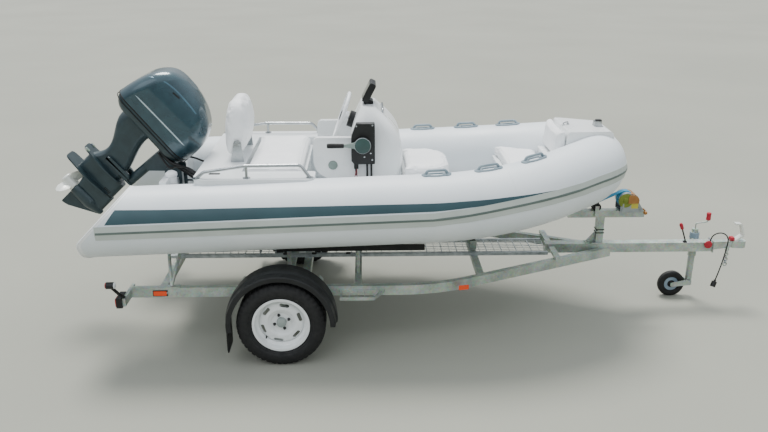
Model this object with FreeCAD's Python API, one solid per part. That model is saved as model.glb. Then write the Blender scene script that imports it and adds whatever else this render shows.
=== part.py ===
"""Rigid inflatable boat with a tilted outboard motor, standing on its road trailer.

Millimetres, +X to the bow, +Y to port, +Z up. While the pieces are made, X counts from the
road wheels' axle, Y from the keel line and Z from the ground. save() then moves everything
along X so that the middle of the whole length is at zero.
"""
import FreeCAD
import Part
import math
import os
from FreeCAD import Vector

os.makedirs("parts", exist_ok=True)

# Where the middle of the whole length lies ahead of the axle
MIDDLE_X = 866.3
# Clearance between pieces that rest on each other over a curved face
SEAT_GAP = 0.3
# Clearance round a shaft or pin that turns
PIN_GAP = 0.05

# Inflatable collar
TUBE_R = 220.0
TUBE_INNER_Y = 400.0
TUBE_Y = TUBE_INNER_Y + TUBE_R
TUBE_Z = 938.0
TUBE_PITCH_DEG = 2.06
TUBE_STERN_X = -1166.0
STERN_CUT_DEG = 43.4
STERN_TIP_X = -1240.0
STERN_TIP_ROUND = 60.0
STRAIGHT_END_X = 960.0
SHEER_TILT_DEG = 15.5
SWEEP_R = 1796.0
SWEEP_DEG = 29.43
NOSE_R = 315.0
NOSE_FLAT = 45.0

# Hull and deck
KEEL_Z = 500.0
SOLE_Z = 800.0
SOLE_THICK = 20.0
TRANSOM_X = -800.0
TRANSOM_THICK = 45.0
TRANSOM_TOP = 1030.0

# Aft seat
SEAT_REAR_X = -545.0
SEAT_HALF = 380.0
SEAT_TOP = 1105.0
CUSHION_THICK = 80.0
WALL = 12.0
LID_THICK = 14.0

# Console
CONSOLE_HALF = 280.0

# Outboard motor
TILT_X = -800.0
TILT_Z = 1070.0
MOTOR_TILT_DEG = 51.2
STEER_X = -130.0
PROP_Z = -632.0

# Trailer
RAIL_Y = 635.0
RAIL_WIDE = 40.0
RAIL_HIGH = 66.0
RAIL_TOP = 448.0
RAIL_REAR_X = -990.0
BAR_TOP = 482.0
BAR_SIZE = 70.0

# Wheels
TYRE_R = 285.0
TYRE_WIDE = 175.0
RIM_R = 175.0
WHEEL_Y = 812.0


def vec(x, y, z):
    return Vector(x, y, z)


def box(x0, x1, y0, y1, z0, z1):
    return Part.makeBox(x1 - x0, y1 - y0, z1 - z0, vec(x0, y0, z0))


def rod(start, end, diameter):
    run = end - start
    return Part.makeCylinder(diameter / 2, run.Length, start, run)


def rounded(points):
    """Closed flat outline in local x and y; a point's third number rounds its corner."""
    spots = [(vec(p[0], p[1], 0), p[2] if len(p) > 2 else 0.0) for p in points]
    arcs = []
    for i, (at, radius) in enumerate(spots):
        if not radius:
            arcs.append((at, None, at))
            continue
        back = (spots[i - 1][0] - at).normalize()
        ahead = (spots[(i + 1) % len(spots)][0] - at).normalize()
        half = back.getAngle(ahead) / 2
        reach = radius / math.tan(half)
        inward = (back + ahead).normalize()
        arcs.append((at + back * reach, at + inward * (radius / math.sin(half) - radius),
                     at + ahead * reach))
    edges = []
    for i, (start, middle, end) in enumerate(arcs):
        if middle is not None:
            edges.append(Part.Arc(start, middle, end).toShape())
        following = arcs[(i + 1) % len(arcs)][0]
        if (following - end).Length > 1e-4:
            edges.append(Part.LineSegment(end, following).toShape())
    return Part.Wire(edges)


# Local x, y and z of a flat outline for each plane it can stand in
PLANES = {
    "xy": (vec(1, 0, 0), vec(0, 1, 0), vec(0, 0, 1)),
    "xz": (vec(1, 0, 0), vec(0, 0, 1), vec(0, -1, 0)),
    "yz": (vec(0, 1, 0), vec(0, 0, 1), vec(1, 0, 0)),
}


def stand(shape, plane, level=0.0):
    """Turns a flat outline into a plane of the boat, at a level along that plane's normal."""
    along, up, normal = PLANES[plane]
    turn = FreeCAD.Matrix(along.x, up.x, normal.x, 0, along.y, up.y, normal.y, 0,
                          along.z, up.z, normal.z, 0, 0, 0, 0, 1)
    moved = shape.copy()
    moved.Placement = FreeCAD.Placement(turn)
    side = vec(0, 1, 0) if plane == "xz" else normal
    moved.translate(side * level)
    return moved


def prism(points, plane, low, high):
    """Outline extruded between two levels across its plane."""
    face = Part.Face(stand(rounded(points), plane, low))
    side = vec(0, 1, 0) if plane == "xz" else PLANES[plane][2]
    return face.extrude(side * (high - low))


def loft(wires, ruled=False):
    return Part.makeLoft(wires, True, ruled)


def bent_path(points, radius):
    """Open path of straight runs joined by tangent arcs."""
    edges = []
    last = points[0]
    for before, at, after in zip(points, points[1:], points[2:]):
        back = (before - at).normalize()
        ahead = (after - at).normalize()
        half = back.getAngle(ahead) / 2
        reach = radius / math.tan(half)
        inward = (back + ahead).normalize()
        start = at + back * reach
        middle = at + inward * (radius / math.sin(half) - radius)
        end = at + ahead * reach
        if (start - last).Length > 1e-4:
            edges.append(Part.LineSegment(last, start).toShape())
        edges.append(Part.Arc(start, middle, end).toShape())
        last = end
    edges.append(Part.LineSegment(last, points[-1]).toShape())
    return Part.Wire(edges)


def sweep_round(path, diameter):
    """Round bar or tube along a path, from its first point."""
    first = path.OrderedEdges[0]
    start = first.valueAt(first.FirstParameter)
    heading = first.tangentAt(first.FirstParameter)
    if first.Orientation == "Reversed":
        start = first.valueAt(first.LastParameter)
        heading = first.tangentAt(first.LastParameter) * -1
    ring = Part.Wire(Part.makeCircle(diameter / 2, start, heading))
    return path.makePipeShell([ring], True, False)


def bar(points, radius, diameter):
    return sweep_round(bent_path(points, radius), diameter)


def revolve(points, base, axis):
    """Solid of revolution of an x-z outline."""
    return Part.Face(stand(rounded(points), "xz")).revolve(base, axis, 360)


def mirrored(shape):
    return shape.mirror(vec(0, 0, 0), vec(0, 1, 0))


def both(shapes):
    """A starboard piece and its port twin."""
    return [copy for shape in shapes for copy in (shape, mirrored(shape))]


def largest(shape):
    return max(shape.Solids, key=lambda solid: solid.Volume)


def save(node, shapes):
    """Writes one node's solids, with X counted from the middle of the whole length."""
    solids = [solid for shape in shapes for solid in shape.Solids]
    part = solids[0].copy() if len(solids) == 1 else Part.makeCompound(solids)
    part.translate(vec(-MIDDLE_X, 0, 0))
    part.exportStep("parts/%s.step" % node)


# The collar's centre line: straight side, wide tilted sweep, short run, tight nose. It is drawn
# level, and pitched() then raises its bow.
def radians(degrees):
    return degrees * math.pi / 180


SHEER_IN = vec(0, math.cos(radians(SHEER_TILT_DEG)), math.sin(radians(SHEER_TILT_DEG)))
AHEAD = vec(1, 0, 0)
ACROSS = vec(0, 1, 0)
UP = vec(0, 0, 1)


def pitched(shape):
    """Turns a piece drawn on the level collar bow-up with the collar."""
    moved = shape.copy()
    moved.rotate(vec(0, 0, TUBE_Z), ACROSS, -TUBE_PITCH_DEG)
    return moved


def sweep_point(turn):
    """Centre and heading after a turn of the wide sweep, in radians."""
    start = vec(STRAIGHT_END_X, -TUBE_Y, TUBE_Z)
    centre = start + AHEAD * (SWEEP_R * math.sin(turn)) + SHEER_IN * (SWEEP_R * (1 - math.cos(turn)))
    return centre, AHEAD * math.cos(turn) + SHEER_IN * math.sin(turn)


SWEEP_END, SWEEP_HEADING = sweep_point(radians(SWEEP_DEG))
NOSE_TURN = SWEEP_HEADING.getAngle(ACROSS)
NOSE_IN = (ACROSS - SWEEP_HEADING * SWEEP_HEADING.dot(ACROSS)).normalize()


def nose_offset(turn):
    return SWEEP_HEADING * (NOSE_R * math.sin(turn)) + NOSE_IN * (NOSE_R * (1 - math.cos(turn)))


NOSE_RUN = (-NOSE_FLAT - SWEEP_END.y - nose_offset(NOSE_TURN).y) / SWEEP_HEADING.y
NOSE_START = SWEEP_END + SWEEP_HEADING * NOSE_RUN
NOSE_END = NOSE_START + nose_offset(NOSE_TURN)


def collar_path(stern_x):
    """Centre line from the starboard stern round the bow to the port stern."""
    stern = vec(stern_x, -TUBE_Y, TUBE_Z)
    bend = vec(STRAIGHT_END_X, -TUBE_Y, TUBE_Z)
    half = [
        Part.LineSegment(stern, bend),
        Part.Arc(bend, sweep_point(radians(SWEEP_DEG) / 2)[0], SWEEP_END),
        Part.LineSegment(SWEEP_END, NOSE_START),
        Part.Arc(NOSE_START, NOSE_START + nose_offset(NOSE_TURN / 2), NOSE_END),
    ]
    flat = Part.LineSegment(NOSE_END, vec(NOSE_END.x, -NOSE_END.y, NOSE_END.z))
    edges = [curve.toShape() for curve in half]
    twins = [mirrored(edge) for edge in reversed(edges)]
    return Part.Wire(Part.__sortEdges__(edges + [flat.toShape()] + twins))


def level_collar(radius):
    """The level collar at a given radius: its ends slant, and their low tips are cut short."""
    tail = STERN_TIP_X - TUBE_R
    ring = Part.Wire(Part.makeCircle(radius, vec(tail, -TUBE_Y, TUBE_Z), AHEAD))
    solid = collar_path(tail).makePipeShell([ring], True, False)
    slant = math.tan(radians(STERN_CUT_DEG))
    bottom = TUBE_Z - radius - 2
    top = TUBE_Z + 3 * TUBE_R
    bow = STRAIGHT_END_X + SWEEP_R
    kept = prism([(STERN_TIP_X, bottom, STERN_TIP_ROUND),
                  (STERN_TIP_X, TUBE_Z + (STERN_TIP_X - TUBE_STERN_X) * slant, STERN_TIP_ROUND),
                  (TUBE_STERN_X + (top - TUBE_Z) / slant, top), (bow, top), (bow, bottom)],
                 "xz", -TUBE_Y - 2 * TUBE_R, TUBE_Y + 2 * TUBE_R)
    return solid.common(kept)


LEVEL_COLLAR = level_collar(TUBE_R)
LEVEL_FAT_COLLAR = level_collar(TUBE_R + SEAT_GAP)
FAT_COLLAR = pitched(LEVEL_FAT_COLLAR)
save("collar", [pitched(LEVEL_COLLAR)])


# Rub strake: a raised band with a ridge, a little higher round the bow.
STRAKE_THICK = 7.0
STRAKE_HALF_DEG = 11.0
# x on the straight side, or degrees into the sweep or the nose, and the band's height in degrees
STRAKE_SIDE = [(TUBE_STERN_X + 56.0, 0.5), (300.0, 0.2), (STRAIGHT_END_X, 0.0)]
STRAKE_SWEEP = [(6.0, 3.2), (10.0, 5.4), (14.0, 6.8), (18.0, 7.0), (23.0, 6.2), (SWEEP_DEG, 4.0)]
STRAKE_NOSE = [(0.0, 3.5), (8.0, 3.1), (16.0, 2.2), (24.0, 0.5), (32.0, -1.8), (41.0, -4.0), (50.0, -5.0)]


def strake_section(centre, heading, height_deg):
    up = (UP - heading * heading.dot(UP)).normalize()
    out = heading.cross(up)
    inner = TUBE_R + SEAT_GAP
    shape = [(-STRAKE_HALF_DEG, inner), (-STRAKE_HALF_DEG, inner + STRAKE_THICK * 0.6),
             (0.0, inner + STRAKE_THICK), (STRAKE_HALF_DEG, inner + STRAKE_THICK * 0.6),
             (STRAKE_HALF_DEG, inner), (0.0, inner)]
    points = []
    for swing, radius in shape:
        angle = radians(height_deg + swing)
        points.append(centre + out * (radius * math.cos(angle)) + up * (radius * math.sin(angle)))
    return Part.makePolygon(points + points[:1])


def strake_solid():
    sections = []
    for x, height in STRAKE_SIDE:
        sections.append(strake_section(vec(x, -TUBE_Y, TUBE_Z), AHEAD, height))
    for turn, height in STRAKE_SWEEP:
        sections.append(strake_section(*sweep_point(radians(turn)), height))
    for turn, height in STRAKE_NOSE:
        swing = radians(turn)
        heading = SWEEP_HEADING * math.cos(swing) + NOSE_IN * math.sin(swing)
        sections.append(strake_section(NOSE_START + nose_offset(swing), heading, height))
    for at in (NOSE_END, vec(NOSE_END.x, 0, NOSE_END.z)):
        sections.append(strake_section(at, ACROSS, STRAKE_NOSE[-1][1]))
    half = loft(sections, True)
    return half.fuse(mirrored(half)).removeSplitter()


save("rub_strake", [pitched(largest(strake_solid().cut(LEVEL_COLLAR)))])


# Hull: deep vee whose chines draw in to the stem, cut to the collar it carries.
# x, keel z, chine y, chine z, side y, side z, top z
HULL_STATIONS = [
    (TRANSOM_X, KEEL_Z, 500.0, 672.0, 545.0, 745.0, SOLE_Z),
    (600.0, KEEL_Z, 500.0, 675.0, 545.0, 750.0, SOLE_Z),
    (1250.0, 520.0, 455.0, 690.0, 505.0, 765.0, SOLE_Z),
    (1554.0, 555.0, 385.0, 722.0, 445.0, 795.0, 836.0),
    (1802.0, 627.0, 290.0, 775.0, 350.0, 845.0, 890.0),
    (2096.0, 744.0, 150.0, 855.0, 205.0, 905.0, 950.0),
    (2300.0, 855.0, 45.0, 920.0, 62.0, 948.0, 985.0),
    (2330.0, 873.0, 12.0, 930.0, 18.0, 952.0, 985.0),
]


def hull_section(x, keel_z, chine_y, chine_z, side_y, side_z, top_z):
    half = [(0, keel_z), (-chine_y, chine_z), (-side_y, side_z), (-side_y, top_z)]
    points = [vec(x, y, z) for y, z in half]
    points += [vec(x, -y, z) for y, z in reversed(half[1:])]
    return Part.makePolygon(points + points[:1])


hull = loft([hull_section(*station) for station in HULL_STATIONS], True).cut(FAT_COLLAR)
hull = largest(hull)
save("hull", [hull])


def keel_z(x):
    """Height of the keel line at x, between the hull's stations."""
    for rear, front in zip(HULL_STATIONS, HULL_STATIONS[1:]):
        if rear[0] <= x <= front[0]:
            return rear[1] + (front[1] - rear[1]) * (x - rear[0]) / (front[0] - rear[0])
    return KEEL_Z


sole = prism([(TRANSOM_X + TRANSOM_THICK, -470), (900, -470), (1400, -420), (1640, -340),
              (1640, 340), (1400, 420), (900, 470), (TRANSOM_X + TRANSOM_THICK, 470)],
             "xy", SOLE_Z, SOLE_Z + SOLE_THICK).cut(FAT_COLLAR).cut(hull)
save("deck", [largest(sole)])
FLOOR_Z = SOLE_Z + SOLE_THICK

TRANSOM_SIDE_TOP = 1100.0
TRANSOM_CUT_HALF = 190.0
transom = prism([(-430, SOLE_Z), (430, SOLE_Z), (430, TRANSOM_SIDE_TOP),
                 (TRANSOM_CUT_HALF + 60, TRANSOM_SIDE_TOP, 30), (TRANSOM_CUT_HALF, TRANSOM_TOP, 30),
                 (-TRANSOM_CUT_HALF, TRANSOM_TOP, 30), (-TRANSOM_CUT_HALF - 60, TRANSOM_SIDE_TOP, 30),
                 (-430, TRANSOM_SIDE_TOP)], "yz", TRANSOM_X, TRANSOM_X + TRANSOM_THICK)
transom = transom.cut(FAT_COLLAR)
save("transom", [largest(transom)])


# Lids: each is a board on a hinge at one wall of its locker, with a cushion on top.
HINGE_R = 6.0
HINGE_PIN_R = 3.0
HINGE_OUT = 6.5


def hinge(wall_x, facing, board_z, half):
    """Fixed leaf with its pin, and the barrel that joins the board."""
    x = wall_x + facing * HINGE_OUT
    z = board_z - HINGE_R - 0.5
    end = 15.0
    pin = rod(vec(x, -half, z), vec(x, half, z), 2 * HINGE_PIN_R)
    near, far = sorted([wall_x, wall_x + facing * 3.0])
    leaf = box(near, far, -half, half, z - 45, z - HINGE_R - 1.5)
    fixed = pin.fuse(leaf)
    for low in (-half, half - end):
        knuckle = rod(vec(x, low, z), vec(x, low + end, z), 2 * HINGE_R)
        web_near, web_far = sorted([wall_x, x])
        web = box(web_near, web_far, low, low + end, z - HINGE_R - 1.5, z)
        fixed = fixed.fuse(knuckle).fuse(web)
    reach = half - end - 1.0
    barrel = rod(vec(x, -reach, z), vec(x, reach, z), 2 * HINGE_R)
    barrel = barrel.fuse(box(x - 4, x + 4, -reach, reach, z, board_z))
    bore = rod(vec(x, -reach, z), vec(x, reach, z), 2 * (HINGE_PIN_R + PIN_GAP))
    return fixed, barrel, bore


# Aft seat moulding: a locker between the tubes with side decks that lie over them.
BOX_REAR_X = -250.0
BOX_FRONT_X = 135.0
SIDE_DECK_TOP = TUBE_Z + TUBE_R + 18.0
SIDE_DECK_HALF = TUBE_Y + 20.0
SIDE_DECK_FRONT_X = 222.0
WELL_HALF = 455.0
side_decks = prism([(SEAT_REAR_X, -SIDE_DECK_HALF, 90), (SIDE_DECK_FRONT_X, -SIDE_DECK_HALF, 60),
                    (SIDE_DECK_FRONT_X, -WELL_HALF, 24), (BOX_FRONT_X, -WELL_HALF),
                    (BOX_FRONT_X, WELL_HALF), (SIDE_DECK_FRONT_X, WELL_HALF, 24),
                    (SIDE_DECK_FRONT_X, SIDE_DECK_HALF, 60), (SEAT_REAR_X, SIDE_DECK_HALF, 90)],
                   "xy", SEAT_TOP - 60, SIDE_DECK_TOP)
side_decks = side_decks.cut(box(BOX_REAR_X - 5, SIDE_DECK_FRONT_X + 1, -WELL_HALF, WELL_HALF,
                                SEAT_TOP, SIDE_DECK_TOP + 1))
locker = box(BOX_REAR_X, BOX_FRONT_X, -SEAT_HALF, SEAT_HALF, FLOOR_Z, SEAT_TOP)
stern_box = side_decks.fuse(locker).cut(FAT_COLLAR)
stern_box = stern_box.cut(box(BOX_REAR_X + WALL, BOX_FRONT_X - WALL, -SEAT_HALF + WALL,
                              SEAT_HALF - WALL, FLOOR_Z, SEAT_TOP + 1))
save("stern_seat_box", [largest(stern_box)])

LID_Z = SEAT_TOP + 1.0
AFT_LID_HALF = 440.0
aft_fixed, aft_barrel, aft_bore = hinge(BOX_FRONT_X, 1, LID_Z, 150.0)
aft_board = box(BOX_REAR_X + 8, BOX_FRONT_X + 2 * HINGE_OUT, -AFT_LID_HALF, AFT_LID_HALF,
                LID_Z, LID_Z + LID_THICK)
save("aft_lid", [aft_board.fuse(aft_barrel).cut(aft_bore)])
cushion_low = LID_Z + LID_THICK + SEAT_GAP
cushion_high = cushion_low + CUSHION_THICK
aft_cushion = prism([(BOX_REAR_X + 12, -AFT_LID_HALF, 35), (BOX_FRONT_X, -AFT_LID_HALF, 45),
                     (BOX_FRONT_X, AFT_LID_HALF, 45), (BOX_REAR_X + 12, AFT_LID_HALF, 35)], "xy",
                    cushion_low, cushion_high)
# Its front edge is rounded, so that it passes the console as the lid rises
aft_cushion = aft_cushion.common(prism([
    (BOX_REAR_X, cushion_low), (BOX_FRONT_X, cushion_low), (BOX_FRONT_X, cushion_high, 40),
    (BOX_REAR_X, cushion_high)], "xz", -SEAT_HALF * 2, SEAT_HALF * 2))
save("aft_cushion", [aft_cushion])


# Stainless rails along the side decks
RAIL_TUBE = 22.0
RAIL_FOOT_Y = TUBE_Y - 20.0
RAIL_UP = 76.0
FOOT_DISC = 48.0
rail_high = SIDE_DECK_TOP + RAIL_UP
rail = bar([vec(-520, -RAIL_FOOT_Y, SIDE_DECK_TOP), vec(-470, -RAIL_FOOT_Y, SIDE_DECK_TOP + 40),
            vec(-215, -RAIL_FOOT_Y + 10, rail_high), vec(136, -RAIL_FOOT_Y + 18, rail_high),
            vec(194, -RAIL_FOOT_Y, SIDE_DECK_TOP)], 42.0, RAIL_TUBE)
rail_post = rod(vec(-204, -RAIL_FOOT_Y + 10, rail_high), vec(-204, -RAIL_FOOT_Y, SIDE_DECK_TOP),
                RAIL_TUBE - 4)
rail = rail.fuse(rail_post)
for x in (-520, -204, 194):
    rail = rail.fuse(rod(vec(x, -RAIL_FOOT_Y, SIDE_DECK_TOP), vec(x, -RAIL_FOOT_Y, SIDE_DECK_TOP + 4),
                         FOOT_DISC))
rail = rail.cut(box(-700, 400, -700, 0, SIDE_DECK_TOP - 100, SIDE_DECK_TOP))


# Backrest that folds forward on two brackets beside it
BACK_PIVOT_X = -310.0
BACK_PIVOT_Z = 1300.0
BACK_HALF = 215.0
BACK_PIN_R = 8.0
BRACKET_Y = BACK_HALF + 8.0
BRACKET_THICK = 8.0
BACK_LOW = 1218.0
BACK_TOP = 1582.0
backrest = prism([(-402, BACK_LOW, 25), (-395, 1400, 150), (-352, BACK_TOP, 34), (-268, BACK_TOP, 42),
                  (-230, 1395, 150), (-290, BACK_LOW, 20)], "xz", -BACK_HALF, BACK_HALF)
corner_edges = [edge for edge in backrest.Edges
                if abs(abs(edge.BoundBox.YMin) - BACK_HALF) < 1 and edge.BoundBox.YLength < 1]
backrest = backrest.makeFillet(28.0, corner_edges)
# Seen from ahead its top is an arch
backrest = backrest.common(prism([
    (-BACK_HALF - 1, BACK_LOW - 1), (BACK_HALF + 1, BACK_LOW - 1), (BACK_HALF + 1, BACK_TOP + 1, 150),
    (-BACK_HALF - 1, BACK_TOP + 1, 150)], "yz", -500, -100))
arm = rod(vec(BACK_PIVOT_X, -BRACKET_Y - BRACKET_THICK - 1, BACK_PIVOT_Z),
          vec(BACK_PIVOT_X, -BACK_HALF, BACK_PIVOT_Z), 2 * BACK_PIN_R)
save("backrest", [backrest.fuse(both([arm]))])
bracket = prism([(-375, SEAT_TOP), (-265, SEAT_TOP), (BACK_PIVOT_X + 24, BACK_PIVOT_Z + 24, 22),
                 (BACK_PIVOT_X - 24, BACK_PIVOT_Z + 24, 22)], "xz",
                -BRACKET_Y - BRACKET_THICK, -BRACKET_Y)
bracket = bracket.cut(rod(vec(BACK_PIVOT_X, -BRACKET_Y - 20, BACK_PIVOT_Z),
                          vec(BACK_PIVOT_X, -BRACKET_Y + 20, BACK_PIVOT_Z),
                          2 * (BACK_PIN_R + PIN_GAP)))
bracket = bracket.cut(box(-380, BOX_REAR_X - 5, -400, 0, SEAT_TOP - 50, SIDE_DECK_TOP))
backrest_brackets = both([bracket])


# Console: a moulded pod with two lobes either side of the wheel
CONSOLE_WALL = 8.0
CONSOLE_BACK_X = 452.0
# z, rear x, front x, half width, corner radius
CONSOLE_SECTIONS = [
    (FLOOR_Z, 440.0, 798.0, 280.0, 70.0),
    (1250.0, 446.0, 794.0, 278.0, 70.0),
    (1365.0, 452.0, 760.0, 262.0, 75.0),
    (1480.0, 492.0, 668.0, 215.0, 62.0),
    (1530.0, 516.0, 614.0, 172.0, 40.0),
]


def console_loft(inset, low):
    wires = []
    for z, rear, front, half, corner in CONSOLE_SECTIONS:
        level = z - low if z == FLOOR_Z else z - inset
        points = [(rear + inset, -half + inset, corner), (front - inset, -half + inset, corner),
                  (front - inset, half - inset, corner), (rear + inset, half - inset, corner)]
        wires.append(stand(rounded(points), "xy", level))
    return loft(wires)


CONSOLE_SOLID = console_loft(0.0, 0.0)
LOBE_REAR_X = 198.0
LOBE_LOW_Z = 1070.0
LOBE_TOP_Z = 1352.0
LOBE_THICK = 46.0
lobe = prism([(LOBE_REAR_X, LOBE_LOW_Z, 130), (CONSOLE_BACK_X + 60, LOBE_LOW_Z),
              (CONSOLE_BACK_X + 60, LOBE_TOP_Z), (LOBE_REAR_X, LOBE_TOP_Z, 34)], "xz",
             -CONSOLE_HALF, -CONSOLE_HALF + LOBE_THICK)
lobe = lobe.cut(console_loft(CONSOLE_WALL, 1.0))
console = CONSOLE_SOLID.cut(console_loft(CONSOLE_WALL, 1.0))
for piece in both([lobe]):
    console = console.fuse(piece)
save("console", [largest(console)])

hatch = rod(vec(327, -CONSOLE_HALF - 4, 1165), vec(327, -CONSOLE_HALF, 1165), 62)

# Remote control box on the starboard lobe, with its lever and cables
BOX_OUT = 54.0
control = prism([(452, 1370), (486, 1457, 8), (608, 1457, 8), (608, 1185, 8), (470, 1185, 6),
                 (452, 1206)], "xz", -CONSOLE_HALF - BOX_OUT, -CONSOLE_HALF)
boss_at = (527, 1318)
boss = rod(vec(boss_at[0], -CONSOLE_HALF - BOX_OUT - 24, boss_at[1]),
           vec(boss_at[0], -CONSOLE_HALF - BOX_OUT, boss_at[1]), 106)
lever = prism([(400, 1309), (470, 1300), (boss_at[0], 1270), (boss_at[0], 1366), (470, 1336),
               (400, 1325)], "xz", -CONSOLE_HALF - BOX_OUT - 30, -CONSOLE_HALF - BOX_OUT - 16)
grip = rod(vec(295, -CONSOLE_HALF - BOX_OUT - 23, 1317), vec(405, -CONSOLE_HALF - BOX_OUT - 23, 1317), 28)
control_cables = []
for x, low in ((482, 1100), (556, 1085), (584, 1085)):
    control_cables.append(rod(vec(x, -CONSOLE_HALF - 24, 1186), vec(x, -CONSOLE_HALF - 24, low), 14))
control = control.fuse(boss).fuse(lever).fuse(grip).fuse(control_cables)
save("control_box", [largest(control.cut(CONSOLE_SOLID))])

# Steering wheel on its helm; the shaft runs along STEER_LINE
WHEEL_CENTRE = vec(385, 0, 1440)
STEER_LINE = vec(0.939, 0, -0.344).normalize()
STEER_RIM_R = 160.0
STEER_SHAFT_R = 10.0
helm = rod(WHEEL_CENTRE + STEER_LINE * 50, WHEEL_CENTRE + STEER_LINE * 120, 112).cut(CONSOLE_SOLID)
helm = max(helm.Solids, key=lambda solid: solid.CenterOfMass.x * -1)
helm = helm.cut(rod(WHEEL_CENTRE, WHEEL_CENTRE + STEER_LINE * 76, 2 * (STEER_SHAFT_R + PIN_GAP)))
save("console_fittings", [hatch, helm])
rim = Part.makeTorus(STEER_RIM_R, 13.0, WHEEL_CENTRE, STEER_LINE)
hub = rod(WHEEL_CENTRE - STEER_LINE * 2, WHEEL_CENTRE + STEER_LINE * 42, 84)
shaft = rod(WHEEL_CENTRE + STEER_LINE * 42, WHEEL_CENTRE + STEER_LINE * 74, 2 * STEER_SHAFT_R)
steering = hub.fuse(shaft)
in_plane = STEER_LINE.cross(ACROSS).normalize()
for spoke in range(5):
    angle = radians(90 + 72 * spoke)
    reach = ACROSS * math.cos(angle) + in_plane * math.sin(angle)
    steering = steering.fuse(rod(WHEEL_CENTRE + STEER_LINE * 14 + reach * 36,
                                 WHEEL_CENTRE + reach * STEER_RIM_R, 15))
save("steering_wheel", [steering.fuse(rim)])

# Instrument on a bracket above the dash, and the low chrome hoop ahead of it
display_base = prism([(530, 1500), (606, 1500), (600, 1548, 8), (540, 1576, 8)], "xz", -50, 50)
screen = prism([(522, 1560, 6), (562, 1542, 6), (624, 1662, 12), (584, 1682, 12)], "xz", -95, 95)
save("display", [largest(display_base.fuse(screen).cut(CONSOLE_SOLID))])
hoop = bar([vec(640, -120, 1380), vec(664, -120, 1506), vec(664, 120, 1506), vec(640, 120, 1380)],
           30.0, 14.0).cut(CONSOLE_SOLID)
save("stainless_rails", both([rail]) + [largest(hoop)])


# Seat on the front of the console, with a rounded front
FRONT_SEAT_X = 800.0
FRONT_SEAT_END = 1116.0
FRONT_SEAT_HALF = 256.0
FRONT_SEAT_TOP = 1046.0


def front_seat(grow, rear, low, high):
    end = FRONT_SEAT_END + grow
    half = FRONT_SEAT_HALF + grow
    return prism([(rear, -half), (end, -half, 170 + grow), (end, half, 170 + grow), (rear, half)],
                 "xy", low, high)


seat_rear = FRONT_SEAT_X + 4
front_box = front_seat(0, seat_rear, FLOOR_Z, FRONT_SEAT_TOP)
front_box = front_box.cut(front_seat(-WALL, seat_rear + WALL, FLOOR_Z, FRONT_SEAT_TOP + 1))
save("front_seat_box", [front_box])
FRONT_LID_Z = FRONT_SEAT_TOP + 1.0
front_fixed, front_barrel, front_bore = hinge(FRONT_SEAT_END, 1, FRONT_LID_Z, 70.0)
front_board = front_seat(2 * HINGE_OUT, seat_rear + 2, FRONT_LID_Z, FRONT_LID_Z + LID_THICK)
save("front_lid", [front_board.fuse(front_barrel).cut(front_bore)])
front_cushion = front_seat(8, seat_rear + 4, FRONT_LID_Z + LID_THICK + SEAT_GAP,
                           FRONT_LID_Z + LID_THICK + SEAT_GAP + CUSHION_THICK)
save("front_cushion", [front_cushion])


# Bow locker, whose sides follow the tubes as they close in
BOW_END_X = 1792.0
BOW_REAR_X = BOW_END_X - 287.0
BOW_TOP = 1050.0
BOW_REAR_HALF = 290.0
BOW_END_HALF = 180.0


def bow_seat(rear, end, rear_half, end_half, low, high):
    return prism([(rear, -rear_half, 12), (end, -end_half, 12), (end, end_half, 12),
                  (rear, rear_half, 12)], "xy", low, high)


bow_box = bow_seat(BOW_REAR_X, BOW_END_X, BOW_REAR_HALF + 50, BOW_END_HALF + 50, FLOOR_Z, BOW_TOP)
bow_box = bow_box.cut(bow_seat(BOW_REAR_X + WALL, BOW_END_X - WALL, BOW_REAR_HALF, BOW_END_HALF,
                               FLOOR_Z, BOW_TOP + 1))
bow_box = bow_box.cut(FAT_COLLAR).cut(hull)
save("bow_locker", [largest(bow_box)])
BOW_LID_Z = BOW_TOP + 1.0
bow_fixed, bow_barrel, bow_bore = hinge(BOW_REAR_X, -1, BOW_LID_Z, 150.0)
ROOMY_COLLAR = pitched(level_collar(TUBE_R + 6))
bow_board = bow_seat(BOW_REAR_X - 2 * HINGE_OUT, BOW_END_X - 6, BOW_REAR_HALF + 24,
                     BOW_END_HALF + 16, BOW_LID_Z, BOW_LID_Z + LID_THICK).cut(ROOMY_COLLAR)
save("bow_lid", [bow_board.fuse(bow_barrel).cut(bow_bore)])
bow_cushion = bow_seat(BOW_REAR_X, BOW_END_X - 10, BOW_REAR_HALF + 18, BOW_END_HALF + 10,
                       BOW_LID_Z + LID_THICK + SEAT_GAP,
                       BOW_LID_Z + LID_THICK + SEAT_GAP + CUSHION_THICK).cut(ROOMY_COLLAR)
save("bow_cushion", [bow_cushion])
save("hinge_fittings", [aft_fixed, front_fixed, bow_fixed] + backrest_brackets)

# Bow step: the moulding over the nose of the collar, with its ledge and backrest
STEP_LEDGE_Z = 1168.0
STEP_TOP = 1368.0
STEP_BACK_X = BOW_END_X + 100.0
STEP_NOSE_X = BOW_END_X + 470.0
STEP_RAKE = 22.0
step = prism([(BOW_END_X + 8, 1000), (BOW_END_X + 8, STEP_LEDGE_Z, 10), (STEP_BACK_X, STEP_LEDGE_Z),
              (STEP_BACK_X + STEP_RAKE, STEP_TOP, 16), (STEP_NOSE_X - 26, STEP_TOP - 14, 34),
              (STEP_NOSE_X, 1230), (STEP_NOSE_X, 1000)], "xz", -225, 225)
step_plan = prism([(BOW_END_X, -228, 20), (BOW_END_X + 168, -225, 60), (STEP_NOSE_X + 18, -150, 60),
                   (STEP_NOSE_X + 18, 150, 60), (BOW_END_X + 168, 225, 60), (BOW_END_X, 228, 20)],
                  "xy", 900, 1500)
step = step.common(step_plan).cut(FAT_COLLAR)
save("bow_step", [max(step.Solids, key=lambda solid: solid.CenterOfMass.z)])
BOW_BACK_THICK = 62.0
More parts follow.
